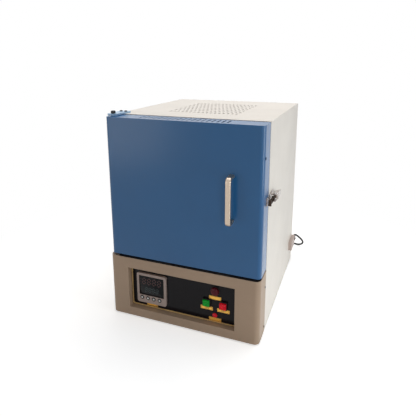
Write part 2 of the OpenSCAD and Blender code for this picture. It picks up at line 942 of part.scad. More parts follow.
module hinge_bolts() color([0.12, 0.12, 0.13]) at_body() {
    rod_z([hinge_x, hinge_y, cabinet_h + bracket_t - bolt_shank], pivot_r, bolt_shank);
    rod_z([hinge_x, hinge_y, cabinet_h + bracket_t], pivot_head_r, pivot_head_h);
    rod_z([hinge_x, hinge_y, base_h - t], pivot_r, t + door_gap + bush_len);
    rod_z([hinge_x, hinge_y, base_h - t - pivot_nut_h], pivot_head_r, pivot_nut_h);
}

module hinge_screws() color([0.12, 0.12, 0.13]) at_body() {
    for (x = hinge_screw_x) {
        rod_z([x, upper_screw_y, cabinet_h - screw_hold], screw_r, bracket_t + screw_hold);
        rod_z([x, upper_screw_y, cabinet_h + bracket_t], screw_head_r, screw_head_h);
        rod_z([x, lower_screw_y, base_h - screw_hold], screw_r, bracket_t + screw_hold - 2);
        seat = base_h + bracket_t - screw_head_h;
        rod_z([x, lower_screw_y, seat], screw_head_r - fit, screw_head_h - slip);
    }
}

// Door

// Slots across the top and bottom lips of the door
module lip_field() {
    for (i = [0 : lip_slots - 1]) {
        translate([lip_x + (i - (lip_slots - 1) / 2) * lip_pitch, lip_y]) slot(lip_slot_len, lip_slot_w);
    }
}

module door_pan() color([0.3, 0.42, 0.55]) at_body() {
    h = door_z1 - door_z0;
    difference() {
        translate([0, 0, door_z0]) linear_extrude(h) {
            front_plan(door_l, door_r, door_f, door_b, door_corner_r, 0, 0);
        }
        translate([0, 0, door_z0 + t]) linear_extrude(h - 2 * t) {
            front_plan(door_l, door_r, door_f, door_b, door_corner_r, t, past);
        }
        translate([0, 0, door_z0 - past]) linear_extrude(h + 2 * past) lip_field();
        rod_z([hinge_x, hinge_y, door_z0 - past], bush_r + fit, h + 2 * past);
        for (s = [-1, 1]) {
            z = handle_z + s * handle_screw_gap / 2;
            rod_y([handle_x, door_f - past, z], screw_r + fit, t + 2 * past);
        }
        rod_x([door_r - t - past, edge_hole_y, door_z1 - edge_hole_drop], edge_hole_r, t + 2 * past);
    }
}

module door_liner() color("silver") at_body() {
    difference() {
        block(
            [door_l + t + fit, door_r - t - fit], [door_b - t, door_b],
            [door_z0 + t + fit, door_z1 - t - fit]
        );
        block(
            [-plug_w - fit, plug_w + fit], [door_b - t - past, door_b + past],
            [mid_z - plug_h - fit, mid_z + plug_h + fit]
        );
    }
}

module door_insulation() color("linen") at_body() {
    block([wool_l, wool_r], [wool_f, door_b - t], [door_z0 + wool_edge, door_z1 - wool_edge]);
}

// The plug's outline at one side: straight through the frame, then drawn in
module plug_outline(half) {
    polygon([
        [door_b - t, -half], [frame_b + 1, -half], [plug_b, plug_taper - half],
        [plug_b, half - plug_taper], [frame_b + 1, half], [door_b - t, half]
    ]);
}

module door_plug() color("linen") at_body() {
    translate([0, 0, mid_z]) intersection() {
        rotate([0, 0, 90]) mirror([0, 1, 0]) linear_extrude(2 * plug_h, center = true) {
            plug_outline(plug_w);
        }
        along_x(-plug_w, plug_w) plug_outline(plug_h);
    }
}

module door_seal() color("whitesmoke") at_body() {
    a = chamber_w / 2 + seal_in;
    c = chamber_h / 2 + seal_in;
    difference() {
        block(
            [-a - seal_w, a + seal_w], [door_b, door_b + seal_t],
            [mid_z - c - seal_w, mid_z + c + seal_w]
        );
        block([-a, a], [door_b - past, door_b + seal_t + past], [mid_z - c, mid_z + c]);
    }
}

// The handle from the side: a bar with two legs and round bends
module handle_outline() {
    bend = 14;
    inner = bend - handle_t;
    h = handle_h;
    out = handle_out;
    difference() {
        union() {
            translate([-out + bend, -h / 2]) square([out - bend, h]);
            translate([-out, -h / 2 + bend]) square([out, h - 2 * bend]);
            for (s = [-1, 1]) translate([-out + bend, s * (h / 2 - bend)]) circle(r = bend);
        }
        union() {
            hi = h - 2 * handle_t;
            oi = out - handle_t;
            translate([-oi + inner, -hi / 2]) square([oi - inner + past, hi]);
            translate([-oi, -hi / 2 + inner]) square([oi + past, hi - 2 * inner]);
            for (s = [-1, 1]) translate([-oi + inner, s * (hi / 2 - inner)]) circle(r = inner);
        }
    }
}

module door_handle() color([0.75, 0.72, 0.68]) at_body() {
    difference() {
        translate([0, door_f, handle_z]) along_x(handle_x - handle_w / 2, handle_x + handle_w / 2) {
            handle_outline();
        }
        for (s = [-1, 1]) {
            z = handle_z + s * handle_screw_gap / 2;
            rod_y([handle_x, door_f - handle_thread, z], screw_r + fit, handle_thread + past);
        }
    }
}

module handle_screws() color("silver") at_body() {
    for (s = [-1, 1]) {
        z = handle_z + s * handle_screw_gap / 2;
        rod_y([handle_x, door_f - handle_thread + 1, z], screw_r, handle_thread - 1 + t);
        rod_y([handle_x, door_f + t, z], screw_head_r, screw_head_h);
    }
}

module door_bushes() color("goldenrod") at_body() {
    for (s = [0, 1]) difference() {
        union() {
            rod_z([hinge_x, hinge_y, s > 0 ? door_z1 - bush_len : door_z0], bush_r, bush_len);
            rod_z([hinge_x, hinge_y, s > 0 ? door_z1 : door_z0 - bush_flange], bush_flange_r, bush_flange);
        }
        rod_z([hinge_x, hinge_y, door_z0 - 2], pivot_r + pivot_clear, door_z1 - door_z0 + 4);
    }
}

// Latch

module latch_strike() color("silver") at_body() {
    block(
        [hw, hw + t], [strike_y - strike_front, strike_y + strike_back],
        [latch_z - strike_half, latch_z + strike_half]
    );
    block(
        [hw, hw + strike_out], [strike_y, strike_y + strike_t],
        [latch_z - strike_lip_half, latch_z + strike_lip_half]
    );
}

module latch_base() color("silver") at_body() {
    difference() {
        union() {
            block(
                [hw, hw + base_t], [latch_y - base_front, latch_y + base_back],
                [latch_z - base_half, latch_z + base_half]
            );
            for (s = [-1, 1]) {
                zc = latch_z + s * (ear_in + ear_t / 2);
                translate([0, 0, zc - ear_t / 2]) linear_extrude(ear_t) {
                    translate([pivot_x, latch_y]) circle(r = ear_r);
                    polygon([
                        [hw, latch_y - ear_foot], [pivot_x, latch_y - ear_r],
                        [pivot_x, latch_y + ear_r], [hw, latch_y + ear_foot]
                    ]);
                }
            }
        }
        rod_z([pivot_x, latch_y, latch_z - cross_half], pin_r + running, 2 * cross_half);
    }
}

module latch_rivets() color("silver") at_body() {
    inner = ear_in - pin_end;
    outer = lever_w / 2 + slip;
    for (s = [-1, 1]) {
        zs = s > 0 ? latch_z + inner : latch_z - outer;
        zh = s > 0 ? latch_z + outer : latch_z - outer - rivet_head;
        rod_z([pivot_x, latch_y, zs], pin_r, outer - inner);
        rod_z([pivot_x, latch_y, zh], pin_r + rivet_head, rivet_head);
    }
}

// Lever in its own frame, closed: u back from the pivot, v off the side, w along the pins
module lever_plan(inset) {
    wide = lever_w / 2 - inset;
    tip = lever_tip_w / 2 - inset;
    polygon([
        [arm_u, -wide], [web_u, -wide], [lever_len, -tip],
        [lever_len, tip], [web_u, wide], [arm_u, wide]
    ]);
}

module lever_closed() {
    difference() {
        intersection() {
            translate([0, 0, -arm_v]) linear_extrude(2 * arm_v + arm_t) lever_plan(0);
            rotate([90, 0, 0]) linear_extrude(lever_w + 2, center = true) polygon([
                [arm_u, -arm_v], [web_u, -arm_v], [lever_len, tip_v], [lever_len, arm_v + arm_t],
                [web_u, arm_v + arm_t], [web_u - 2, arm_v], [arm_u, arm_v - 2]
            ]);
        }
        translate([0, 0, -arm_v - past]) linear_extrude(2 * arm_v + past) lever_plan(arm_t);
        translate([arm_u - past, -arm_in, -arm_v - past]) {
            cube([web_u - arm_u - 1, 2 * arm_in, 2 * arm_v + arm_t + 2 * past]);
        }
    }
}

module latch_lever() color([0.82, 0.82, 0.84]) at_body() {
    difference() {
        translate([pivot_x, latch_y, latch_z]) rotate([0, 90, 0]) rotate([0, 0, 90]) lever_closed();
        rod_z([pivot_x, latch_y, latch_z - cross_half], pin_r + running, 2 * cross_half);
        rod_z([pin_x, pin_y, latch_z - cross_half], pin_r + running, 2 * cross_half);
    }
}

module latch_link_pin() color("silver") at_body() {
    rod_z([pin_x, pin_y, latch_z - lever_w / 2 - pin_end], pin_r, lever_w + 2 * pin_end);
}

module latch_hook() color([0.35, 0.33, 0.32]) at_body() {
    difference() {
        union() {
            rod_z([pin_x, pin_y, latch_z - trunnion_half], trunnion_r, 2 * trunnion_half);
            for (s = [-1, 1]) {
                rod_y([pin_x, claw_b - 1, latch_z + s * rod_z], rod_r, pin_y - claw_b);
                rod_y([pin_x, collar_y, latch_z + s * rod_z], collar_r, collar_t);
            }
            block(
                [pin_x - yoke_out, pin_x + yoke_out], [yoke_y, yoke_y + yoke_t],
                [latch_z - yoke_half, latch_z + yoke_half]
            );
            block(
                [claw_in, pin_x + claw_out], [claw_b - claw_t, claw_b],
                [latch_z - claw_half, latch_z + claw_half]
            );
        }
        rod_z([pin_x, pin_y, latch_z - cross_half], pin_r + running, 2 * cross_half);
    }
}

// A wire wound round a rod along Y, as one unbroken tube
module wound_spring(x, ya, yb, z, mean_r) {
    turns = spring_curls;
    ring = 8;
    sides = 6;
    n = turns * ring;
    rise = yb - ya - spring_wire;
    function at(i) = let (a = 360 * i / ring, s = i / n) [
        x + mean_r * cos(a), ya + spring_wire / 2 + rise * s, z + mean_r * sin(a)
    ];
    rings = [for (i = [0 : n]) let (
        a = 360 * i / ring,
        out = [cos(a), 0, sin(a)],
        run = [-sin(a), rise / n / (mean_r * PI / 180 * 360 / ring), cos(a)],
        way = run / norm(run),
        side = cross(way, out)
    ) [for (k = [0 : sides - 1]) let (b = 360 * k / sides)
        at(i) + spring_wire / 2 * (cos(b) * out + sin(b) * side)]];
    tube(rings, sides);
}

// Closed tube through rings of points, all faces triangles
module tube(rings, sides) {
    n = len(rings);
    pts = [for (r = rings, p = r) p];
    wall = [for (i = [0 : n - 2], k = [0 : sides - 1]) let (
        a = i * sides + k, b = i * sides + (k + 1) % sides, c = a + sides, e = b + sides
    ) each [[a, c, b], [b, c, e]]];
    first = [for (k = [1 : sides - 2]) [0, k, k + 1]];
    last = [for (k = [1 : sides - 2]) let (o = (n - 1) * sides) [o, o + k + 1, o + k]];
    polyhedron(points = pts, faces = concat(wall, first, last));
}

module latch_springs() color([0.25, 0.2, 0.18]) at_body() {
    for (s = [-1, 1]) {
        wound_spring(
            pin_x, collar_y + collar_t + slip, yoke_y - slip, latch_z + s * rod_z, spring_r
        );
    }
}

// Services in the base

module heat_sink() color("silver") at_body() {
    block([sink_x, sink_x + sink_w], [sink_y, sink_y + sink_len], [pan_top, pan_top + sink_t]);
    for (i = [0 : fins - 1]) {
        x = sink_x + i * fin_pitch;
        block([x, x + fin_t], [sink_y, sink_y + sink_len], [pan_top + sink_t, pan_top + sink_t + fin_h]);
    }
}

module power_relay() color([0.2, 0.2, 0.22]) at_body() {
    z = pan_top + sink_t;
    block([relay_x, relay_x + relay_w], [relay_y, relay_y + relay_len], [z, z + relay_h]);
}

module terminal_block() color("beige") at_body() {
    difference() {
        block([strip_x, strip_x + strip_w], [strip_y, strip_y + strip_len], [pan_top, pan_top + strip_h]);
        for (i = [0 : strip_poles - 1]) {
            x = strip_x + pole_in + i * strip_pitch;
            block(
                [x, x + pole_w], [strip_y - past, strip_y + pole_len],
                [pan_top + pole_z, pan_top + strip_h + past]
            );
        }
    }
}

module fan_frame() color([0.15, 0.15, 0.16]) at_body() {
    difference() {
        translate([fan_x, 0, fan_z]) along_y(fan_y, back_in) round_rect(fan_w, fan_w, fan_corner_r);
        rod_y([fan_x, fan_y - past, fan_z], duct_r, fan_t + 2 * past);
    }
    rod_y([fan_x, back_in - fan_back_t, fan_z], fan_back_r, fan_back_t);
    for (a = [45 : 90 : 315]) translate([fan_x, 0, fan_z]) rotate([0, a, 0]) {
        block([fan_back_r - 2, duct_r + 1], [back_in - fan_back_t, back_in], [-strut_w / 2, strut_w / 2]);
    }
    rod_y([fan_x, fan_y + 4, fan_z], fan_pin_r, fan_t - 6);
}

module fan_rotor() color([0.1, 0.1, 0.11]) at_body() {
    difference() {
        union() {
            rod_y([fan_x, fan_hub_y, fan_z], fan_hub_r, fan_t - 7);
            for (i = [0 : blades - 1]) {
                translate([fan_x, fan_hub_y + 8, fan_z]) rotate([0, i * 360 / blades, 0]) {
                    translate([blade_from, 0, 0]) rotate([blade_pitch, 0, 0]) {
                        cube([blade_len, blade_t, blade_w]);
                    }
                }
            }
        }
        rod_y([fan_x, fan_y + 3.5, fan_z], fan_pin_r + running, fan_t);
    }
}

module rubber_feet() color([0.15, 0.15, 0.15]) at_body() {
    for (s = [-1, 1]) {
        rod_z([s * (hw - foot_inset), foot_inset, -foot_h], foot_r, foot_h);
        rod_z([s * (hw - foot_inset), d - foot_inset, -foot_h], foot_r, foot_h + t);
    }
}

module seam_screws() color([0.2, 0.2, 0.2]) at_body() {
    for (s = [-1, 1], z = seam_screw_z) {
        rod_x([s > 0 ? hw - 2 * t - 1 : -hw, seam_screw_y, z], seam_screw_r, 2 * t + 1);
        rod_x([s > 0 ? hw : -hw - seam_head_h, seam_screw_y, z], seam_head_r, seam_head_h);
    }
}

module inlet_box() color([0.82, 0.75, 0.72]) at_body() {
    w = inlet_wall;
    za = inlet_z - inlet_h / 2;
    zb = inlet_z + inlet_h / 2;
    difference() {
        block([hw, hw + inlet_out], [inlet_f, inlet_b], [za, zb]);
        block([hw - past, hw + inlet_out - w], [inlet_f + w, inlet_b - w], [za + w, zb - w]);
        rod_y([gland_x, inlet_b - w - past, inlet_z], thread_r + fit, w + 2 * past);
    }
}

module cord_gland() color([0.08, 0.08, 0.09]) at_body() {
    rod_y([gland_x, inlet_b - gland_nut, inlet_z], thread_r, gland_nut);
    rod_y([gland_x, inlet_b, inlet_z], gland_r, gland_nut);
    translate([gland_x, inlet_b + gland_nut, inlet_z]) rotate([-90, 0, 0]) rotate_extrude() {
        polygon([[0, 0], [relief_r, 0], [relief_tip_r, relief_len], [0, relief_len]]);
    }
}

// Mains lead

// Direction of a path at one of its points
function heading(p, i) = let (
    a = p[max(i - 1, 0)], b = p[min(i + 1, len(p) - 1)]
) (b - a) / norm(b - a);

// Point on a smooth curve through four points
function blend(a, b, c, e, s) = 0.5 * (
    2 * b + (c - a) * s + (2 * a - 5 * b + 4 * c - e) * s * s
    + (3 * b - a - 3 * c + e) * s * s * s
);

// A smooth path through the route, with steps between each pair of points
function smooth(p, steps) = let (n = len(p)) [
    for (i = [0 : n - 2], k = [0 : steps - 1])
        blend(p[max(i - 1, 0)], p[i], p[i + 1], p[min(i + 2, n - 1)], k / steps),
    p[n - 1]
];

function path_length(p) = len(p) < 2 ? 0 : sum([for (i = [1 : len(p) - 1]) norm(p[i] - p[i - 1])]);
function sum(v) = [for (i = [0 : len(v) - 1]) 1] * v;

// Rings round a path, set upright against the floor
function cord_rings(p, r, sides) = [for (i = [0 : len(p) - 1]) let (
    way = heading(p, i),
    flat = cross(way, [0, 0, 1]),
    side = flat / norm(flat),
    up = cross(side, way)
) [for (k = [0 : sides - 1]) let (b = 360 * (k + 0.5) / sides)
    p[i] + r * (cos(b) * side + sin(b) * up)]];

cord_path = smooth(cord_pts, 4);

module mains_cord() color([0.15, 0.15, 0.16]) at_body() {
    tube(cord_rings(cord_path, cord_r, 8), 8);
    echo(cord_free_length = path_length(cord_path));
}

// Coil: two layers, wound in and out again, with the climb where the spiral turns back
loop_rings = 24;
coil_turned = 2 * coil_turns + 0.5;
coil_reverse = coil_turns + 0.25;
function coil_r(s) = coil_outer_r - coil_pitch * (
    s < coil_reverse ? s : 2 * coil_reverse - s
);
function coil_up(s) = coil_pitch * (
    s < coil_turns ? 0 : s > coil_turns + 0.5 ? 1 : (1 - cos(360 * (s - coil_turns))) / 2
);
function coil_at(s) = coil_c + [
    coil_r(s) * cos(90 + 360 * s), coil_r(s) * sin(90 + 360 * s), coil_up(s)
];
plug_start = [plug_x, coil_c[1] - coil_r(coil_turned), plug_z];
coil_path = concat(
    [for (i = [0 : round(coil_turned * loop_rings)]) coil_at(i / loop_rings)],
    [for (i = [1 : 4]) coil_at(coil_turned) + i / 4 * (plug_start - coil_at(coil_turned))]
);

// Least gap between turns, measured on the path's own points
function coil_gap() = let (p = coil_path) min([
    for (i = [0 : len(p) - 1], k = [i + 12 : 1 : len(p) - 1]) norm(p[i] - p[k])
]) - cord_d;

module mains_cord_coil() color([0.15, 0.15, 0.16]) at_body() {
    tube(cord_rings(coil_path, cord_r, 6), 6);
    echo(coil_length = path_length(coil_path), coil_gap = coil_gap());
    echo(cord_total = path_length(cord_path) + path_length(coil_path));
}

module mains_plug() color([0.12, 0.12, 0.13]) at_body() {
    rod_x(plug_start, relief_tip_r, plug_relief);
    translate([plug_x + plug_relief + plug_long / 2, plug_start[1], floor_z]) {
        linear_extrude(plug_thick) round_rect(plug_long, plug_wide, plug_corner_r);
        translate([pin_row / 2 + 1, 0, plug_thick]) {
            linear_extrude(earth_pin[1]) square(earth_pin[0], center = true);
            for (s = [-1, 1]) translate([-pin_row, s * line_gap, 0]) {
                linear_extrude(line_pin[1]) square([earth_pin[0], line_pin[0]], center = true);
            }
        }
    }
}

casing_shell();
base_front_panel();
base_pan();
back_panel();
front_frame();
divider_shelf();
inner_shell();
floor_board();
roof_board();
side_boards();
rear_board();
hearth_plate();
heating_elements();
thermocouple();
control_panel();
controller_bezel();
controller_case();
controller_display();
legend_plates();
dome_lamp();
pilot_lamp();
lamp_bodies();
switch_bodies();
hinge_brackets();
hinge_bolts();
hinge_screws();
latch_base();
latch_rivets();
power_relay();
heat_sink();
terminal_block();
fan_frame();
rubber_feet();
seam_screws();
inlet_box();
cord_gland();
mains_cord();
mains_cord_coil();
mains_plug();
door_pan();
door_liner();
door_insulation();
door_plug();
door_seal();
door_handle();
handle_screws();
door_bushes();
latch_strike();
latch_lever();
latch_link_pin();
latch_hook();
latch_springs();
start_button();
stop_button();
key(0);  // key_1
key(1);  // key_2
key(2);  // key_3
key(3);  // key_4
fan_rotor();
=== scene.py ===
import json
import math

import bmesh
import bpy
from mathutils import Matrix, Vector


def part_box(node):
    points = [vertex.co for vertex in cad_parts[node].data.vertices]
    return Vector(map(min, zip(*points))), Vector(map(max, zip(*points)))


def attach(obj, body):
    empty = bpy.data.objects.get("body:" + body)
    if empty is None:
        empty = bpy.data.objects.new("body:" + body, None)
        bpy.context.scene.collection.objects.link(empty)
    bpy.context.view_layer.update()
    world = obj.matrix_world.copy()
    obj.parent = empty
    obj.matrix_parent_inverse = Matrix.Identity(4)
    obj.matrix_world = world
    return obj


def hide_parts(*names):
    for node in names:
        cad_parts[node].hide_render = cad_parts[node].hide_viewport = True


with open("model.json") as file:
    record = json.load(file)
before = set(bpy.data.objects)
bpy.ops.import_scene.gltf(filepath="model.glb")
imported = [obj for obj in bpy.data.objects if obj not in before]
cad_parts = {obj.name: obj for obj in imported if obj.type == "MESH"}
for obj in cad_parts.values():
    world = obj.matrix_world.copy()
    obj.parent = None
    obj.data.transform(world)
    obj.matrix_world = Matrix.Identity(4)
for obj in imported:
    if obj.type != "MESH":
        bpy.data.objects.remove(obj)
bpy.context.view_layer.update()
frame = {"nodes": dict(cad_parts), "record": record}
nodes = frame["nodes"]
scene = bpy.context.scene
scene.view_settings.view_transform = "Standard"
MM = 0.001


def span(node):
    """A CAD node's box, in millimetres."""
    lo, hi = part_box(node)
    return lo / MM, hi / MM


def middle(lo, hi):
    """The middle of a box, in plain numbers."""
    return tuple((a + b) / 2 for a, b in zip(lo, hi))


# Camera at the photograph's viewing angle, placed from the middle of the casing's back edge

# Degrees, millimetres and shares of the lens, then metres
VIEW_TURN, VIEW_RISE = 20.5, 12.7
SENSOR_WIDTH, FOCAL_LENGTH, LENS_SHIFT = 36, 34.67, -0.1394
CAMERA_RIGHT, CAMERA_FRONT, CAMERA_UP = 0.4329, 1.4747, 0.7640

casing_lo, casing_hi = span("casing_shell")
casing_mid = (casing_lo.x + casing_hi.x) / 2
turn, rise = math.radians(VIEW_TURN), math.radians(VIEW_RISE)
back = Vector((
    math.sin(turn) * math.cos(rise), -math.cos(turn) * math.cos(rise), math.sin(rise)
))
lens_data = bpy.data.cameras.new("camera")
lens_data.sensor_width = SENSOR_WIDTH
lens_data.lens = FOCAL_LENGTH
lens_data.shift_y = LENS_SHIFT
lens_data.clip_start = 0.05
camera = bpy.data.objects.new("camera", lens_data)
camera.location = (
    casing_mid * MM + CAMERA_RIGHT, casing_hi.y * MM - CAMERA_FRONT, CAMERA_UP
)
camera.rotation_mode = "QUATERNION"
camera.rotation_quaternion = (-back).to_track_quat("-Z", "Y")
scene.collection.objects.link(camera)
scene.camera = camera


# Materials

# How much the rounded normal may turn before a point counts as near an edge
EDGE_FADE = (0.002, 0.06)
# Height of the orange peel on painted sheet, in metres
ORANGE_PEEL = 0.00012
# Noise scales along and across the lines of drawn metal, and of metal without them
ALONG_GRAIN, ACROSS_GRAIN, NO_GRAIN = 30, 1600, 500
# Scale of the spark texture on moulded plastic
SPARK_SCALE = 900


def srgb(r, g, b):
    """A colour written as in an image, as the shader's linear numbers."""
    def line(c):
        c /= 255
        return c / 12.92 if c <= 0.04045 else ((c + 0.055) / 1.055) ** 2.4
    return (line(r), line(g), line(b), 1)


def scaled(rgba, k):
    """A colour made darker or lighter by a factor."""
    return tuple(min(1, c * k) for c in rgba[:3]) + (1,)


class Shader:
    """One material's nodes, made in order."""

    def __init__(self, name):
        self.mat = bpy.data.materials.new(name)
        self.mat.use_nodes = True
        self.tree = self.mat.node_tree
        self.tree.nodes.clear()
        self.out = self.add("ShaderNodeOutputMaterial")
        self.bsdf = self.add("ShaderNodeBsdfPrincipled")
        self.join(self.bsdf.outputs[0], self.out.inputs[0])
        self.place = self.add("ShaderNodeTexCoord").outputs["Object"]

    def add(self, kind, **settings):
        node = self.tree.nodes.new(kind)
        for key, value in settings.items():
            setattr(node, key, value)
        return node

    def join(self, a, b):
        self.tree.links.new(a, b)

    def stretch(self, scale, turned=(0, 0, 0)):
        node = self.add("ShaderNodeMapping")
        node.inputs["Scale"].default_value = scale
        node.inputs["Rotation"].default_value = turned
        self.join(self.place, node.inputs["Vector"])
        return node.outputs[0]

    def noise(self, scale, detail=3, rough=0.55, place=None):
        node = self.add("ShaderNodeTexNoise")
        node.inputs["Scale"].default_value = scale
        node.inputs["Detail"].default_value = detail
        node.inputs["Roughness"].default_value = rough
        self.join(place or self.place, node.inputs["Vector"])
        return node.outputs["Fac"]

    def cells(self, scale):
        node = self.add("ShaderNodeTexVoronoi")
        node.inputs["Scale"].default_value = scale
        self.join(self.place, node.inputs["Vector"])
        return node.outputs["Distance"]

    def remap(self, value, a, b, c, d):
        node = self.add("ShaderNodeMapRange")
        for i, x in enumerate((a, b, c, d)):
            node.inputs[i + 1].default_value = x
        self.join(value, node.inputs[0])
        return node.outputs[0]

    def math(self, op, a, b):
        node = self.add("ShaderNodeMath", operation=op)
        for i, x in enumerate((a, b)):
            if isinstance(x, (int, float)):
                node.inputs[i].default_value = x
            else:
                self.join(x, node.inputs[i])
        return node.outputs[0]

    def mix(self, factor, a, b):
        node = self.add("ShaderNodeMix", data_type="RGBA")
        for x, i in ((factor, 0), (a, 6), (b, 7)):
            if isinstance(x, (int, float, tuple)):
                node.inputs[i].default_value = x
            else:
                self.join(x, node.inputs[i])
        return node.outputs[2]

    def edge(self, radius):
        """How near a surface point is to a sharp edge, and the normal rounded over it."""
        soft = self.add("ShaderNodeBevel", samples=4)
        soft.inputs["Radius"].default_value = radius
        flat = self.add("ShaderNodeNewGeometry").outputs["Normal"]
        dot = self.add("ShaderNodeVectorMath", operation="DOT_PRODUCT")
        self.join(soft.outputs[0], dot.inputs[0])
        self.join(flat, dot.inputs[1])
        gap = self.math("SUBTRACT", 1, dot.outputs["Value"])
        return self.remap(gap, *EDGE_FADE, 0, 1), soft.outputs[0]

    def colour(self, value):
        self.join(value, self.bsdf.inputs["Base Color"])

    def rough(self, value):
        self.join(value, self.bsdf.inputs["Roughness"])

    def bump(self, height, distance, normal=None):
        node = self.add("ShaderNodeBump")
        node.inputs["Strength"].default_value = 1
        node.inputs["Distance"].default_value = distance
        self.join(height, node.inputs["Height"])
        if normal is not None:
            self.join(normal, node.inputs["Normal"])
        self.join(node.outputs[0], self.bsdf.inputs["Normal"])

    def set(self, **values):
        """Uniform values, each under its socket's name with underscores for spaces."""
        for key, value in values.items():
            socket = key.replace("_", " ").replace("Ior", "IOR")
            self.bsdf.inputs[socket].default_value = value
        return self.mat


def paint(name, rgba, rough, coat, vary=0.05, wear_and_highlight=0.25, spec=0.4):
    """Powder coat or paint on sheet: orange peel, faint blotches, edges rubbed lighter by wear and
    by a painted highlight.
    """
    s = Shader(name)
    blotch = s.remap(s.noise(5, 4), 0.3, 0.7, 0, 1)
    body = s.mix(blotch, scaled(rgba, 1 - vary), scaled(rgba, 1 + vary))
    fine = s.remap(s.noise(420, 2), 0.35, 0.65, 0, 1)
    body = s.mix(s.math("MULTIPLY", fine, 0.25), body, scaled(rgba, 0.93))
    near, soft = s.edge(0.0009)
    # Edges are mixed toward a paler tone: partly wear, partly painted highlight
    rub_and_highlight = s.math("MULTIPLY", near, s.remap(s.noise(60, 3), 0.4, 0.7, 0.3 * wear_and_highlight, wear_and_highlight))
    pale = tuple(0.55 * c + 0.45 for c in rgba[:3]) + (1,)
    s.colour(s.mix(rub_and_highlight, body, pale))
    s.rough(s.remap(s.noise(26, 3), 0.3, 0.7, rough - 0.04, rough + 0.06))
    s.bump(s.noise(640, 2), ORANGE_PEEL, soft)
    return s.set(Coat_Weight=coat, Coat_Roughness=0.22, Specular_Ior_Level=spec)


def metal(name, rgba, rough, grain, cut=0.00004, stain=0.12, metallic=1.0, rim=None):
    """Metal with its grain along one axis and light stains; its edges get a painted highlight, or
    a dark painted shade when an edge colour is given.
    """
    s = Shader(name)
    if any(grain):
        scales = tuple(ALONG_GRAIN if g else ACROSS_GRAIN for g in grain)
    else:
        scales = (NO_GRAIN, NO_GRAIN, NO_GRAIN)
    lines = s.noise(1, 2, 0.6, s.stretch(scales))
    cloud = s.remap(s.noise(22, 4), 0.35, 0.75, 0, stain)
    body = s.mix(s.remap(lines, 0.3, 0.7, 0, 0.35), rgba, scaled(rgba, 0.78))
    body = s.mix(cloud, body, scaled(rgba, 0.55))
    near, soft = s.edge(0.0014 if rim else 0.0006)
    # Edges are painted lighter as a highlight, or darker in the given edge colour as painted shade
    painted_edge = s.math("MULTIPLY", near, 0.9 if rim else 0.4)
    s.colour(s.mix(painted_edge, body, rim or scaled(rgba, 1.2)))
    s.rough(s.remap(lines, 0.3, 0.7, rough - 0.06, rough + 0.09))
    s.bump(lines, cut, soft)
    return s.set(Metallic=metallic)


def plastic(name, rgba, rough, grain=0.00006, spec=0.5):
    """Moulded plastic with a fine spark texture, slight unevenness of colour and a painted
    highlight on its edges.
    """
    s = Shader(name)
    cloud = s.remap(s.noise(35, 3), 0.3, 0.7, 0, 1)
    body = s.mix(cloud, scaled(rgba, 0.94), scaled(rgba, 1.06))
    near, soft = s.edge(0.0005)
    # Edges are mixed toward a paler tone as a painted highlight
    pale = tuple(0.8 * c + 0.12 for c in rgba[:3]) + (1,)
    s.colour(s.mix(s.math("MULTIPLY", near, 0.3), body, pale))
    s.rough(s.remap(s.noise(120, 3), 0.3, 0.7, rough - 0.05, rough + 0.07))
    s.bump(s.cells(SPARK_SCALE), grain, soft)
    return s.set(Specular_Ior_Level=spec)


def fibre(name, rgba, warm, depth=0.0004):
    """Vacuum-formed ceramic fibre: matted strands, pits darkened with painted shade, warm stains
    near the heat.
    """
    s = Shader(name)
    strands = s.noise(260, 6, 0.7, s.stretch((1, 0.45, 1), (0.4, 0.2, 0.6)))
    cross = s.noise(240, 6, 0.7, s.stretch((0.5, 1, 1.1), (-0.6, 0.3, 0.2)))
    mat = s.math("MAXIMUM", strands, cross)
    body = s.mix(s.remap(mat, 0.35, 0.7, 0, 1), scaled(rgba, 0.82), rgba)
    pits = s.remap(s.cells(330), 0.0, 0.16, 1, 0)
    # The pits are darkened as painted shade in them
    body = s.mix(s.math("MULTIPLY", pits, 0.35), body, scaled(rgba, 0.6))
    s.colour(s.mix(s.remap(s.noise(9, 4), 0.45, 0.75, 0, 0.45), body, warm))
    s.rough(s.remap(mat, 0.3, 0.7, 0.82, 0.95))
    s.bump(s.math("SUBTRACT", mat, s.math("MULTIPLY", pits, 0.5)), depth)
    return s.set(Specular_Ior_Level=0.2)


def lens(name, rgba, glow, scale):
    """Tinted lens plastic with small prisms in it, their glints painted into the tint, lit by
    glow.
    """
    s = Shader(name)
    facets = s.cells(scale)
    # Lighter prism middles and darker prism edges are painted glints
    body = s.mix(s.remap(facets, 0.1, 0.6, 0, 1), scaled(rgba, 1.2), scaled(rgba, 0.55))
    s.colour(body)
    s.rough(s.remap(s.noise(200, 2), 0.3, 0.7, 0.08, 0.16))
    s.bump(facets, 0.0002)
    if glow:
        s.join(body, s.bsdf.inputs["Emission Color"])
    return s.set(
        Emission_Strength=glow, Coat_Weight=0.04, Coat_Roughness=0.05, Specular_Ior_Level=0.12
    )


def rubber(name, rgba, rough=0.6, grain=0.0001, spec=0.35):
    """Rubber or soft sheath: fine speckle with a little pale dust."""
    s = Shader(name)
    speck = s.noise(520, 4, 0.65)
    body = s.mix(s.remap(speck, 0.35, 0.65, 0, 1), scaled(rgba, 0.85), scaled(rgba, 1.25))
    s.colour(s.mix(s.remap(s.noise(18, 3), 0.5, 0.8, 0, 0.2), body, srgb(120, 116, 110)))
    s.rough(s.remap(speck, 0.3, 0.7, rough - 0.08, rough + 0.1))
    s.bump(speck, grain)
    return s.set(Specular_Ior_Level=spec)


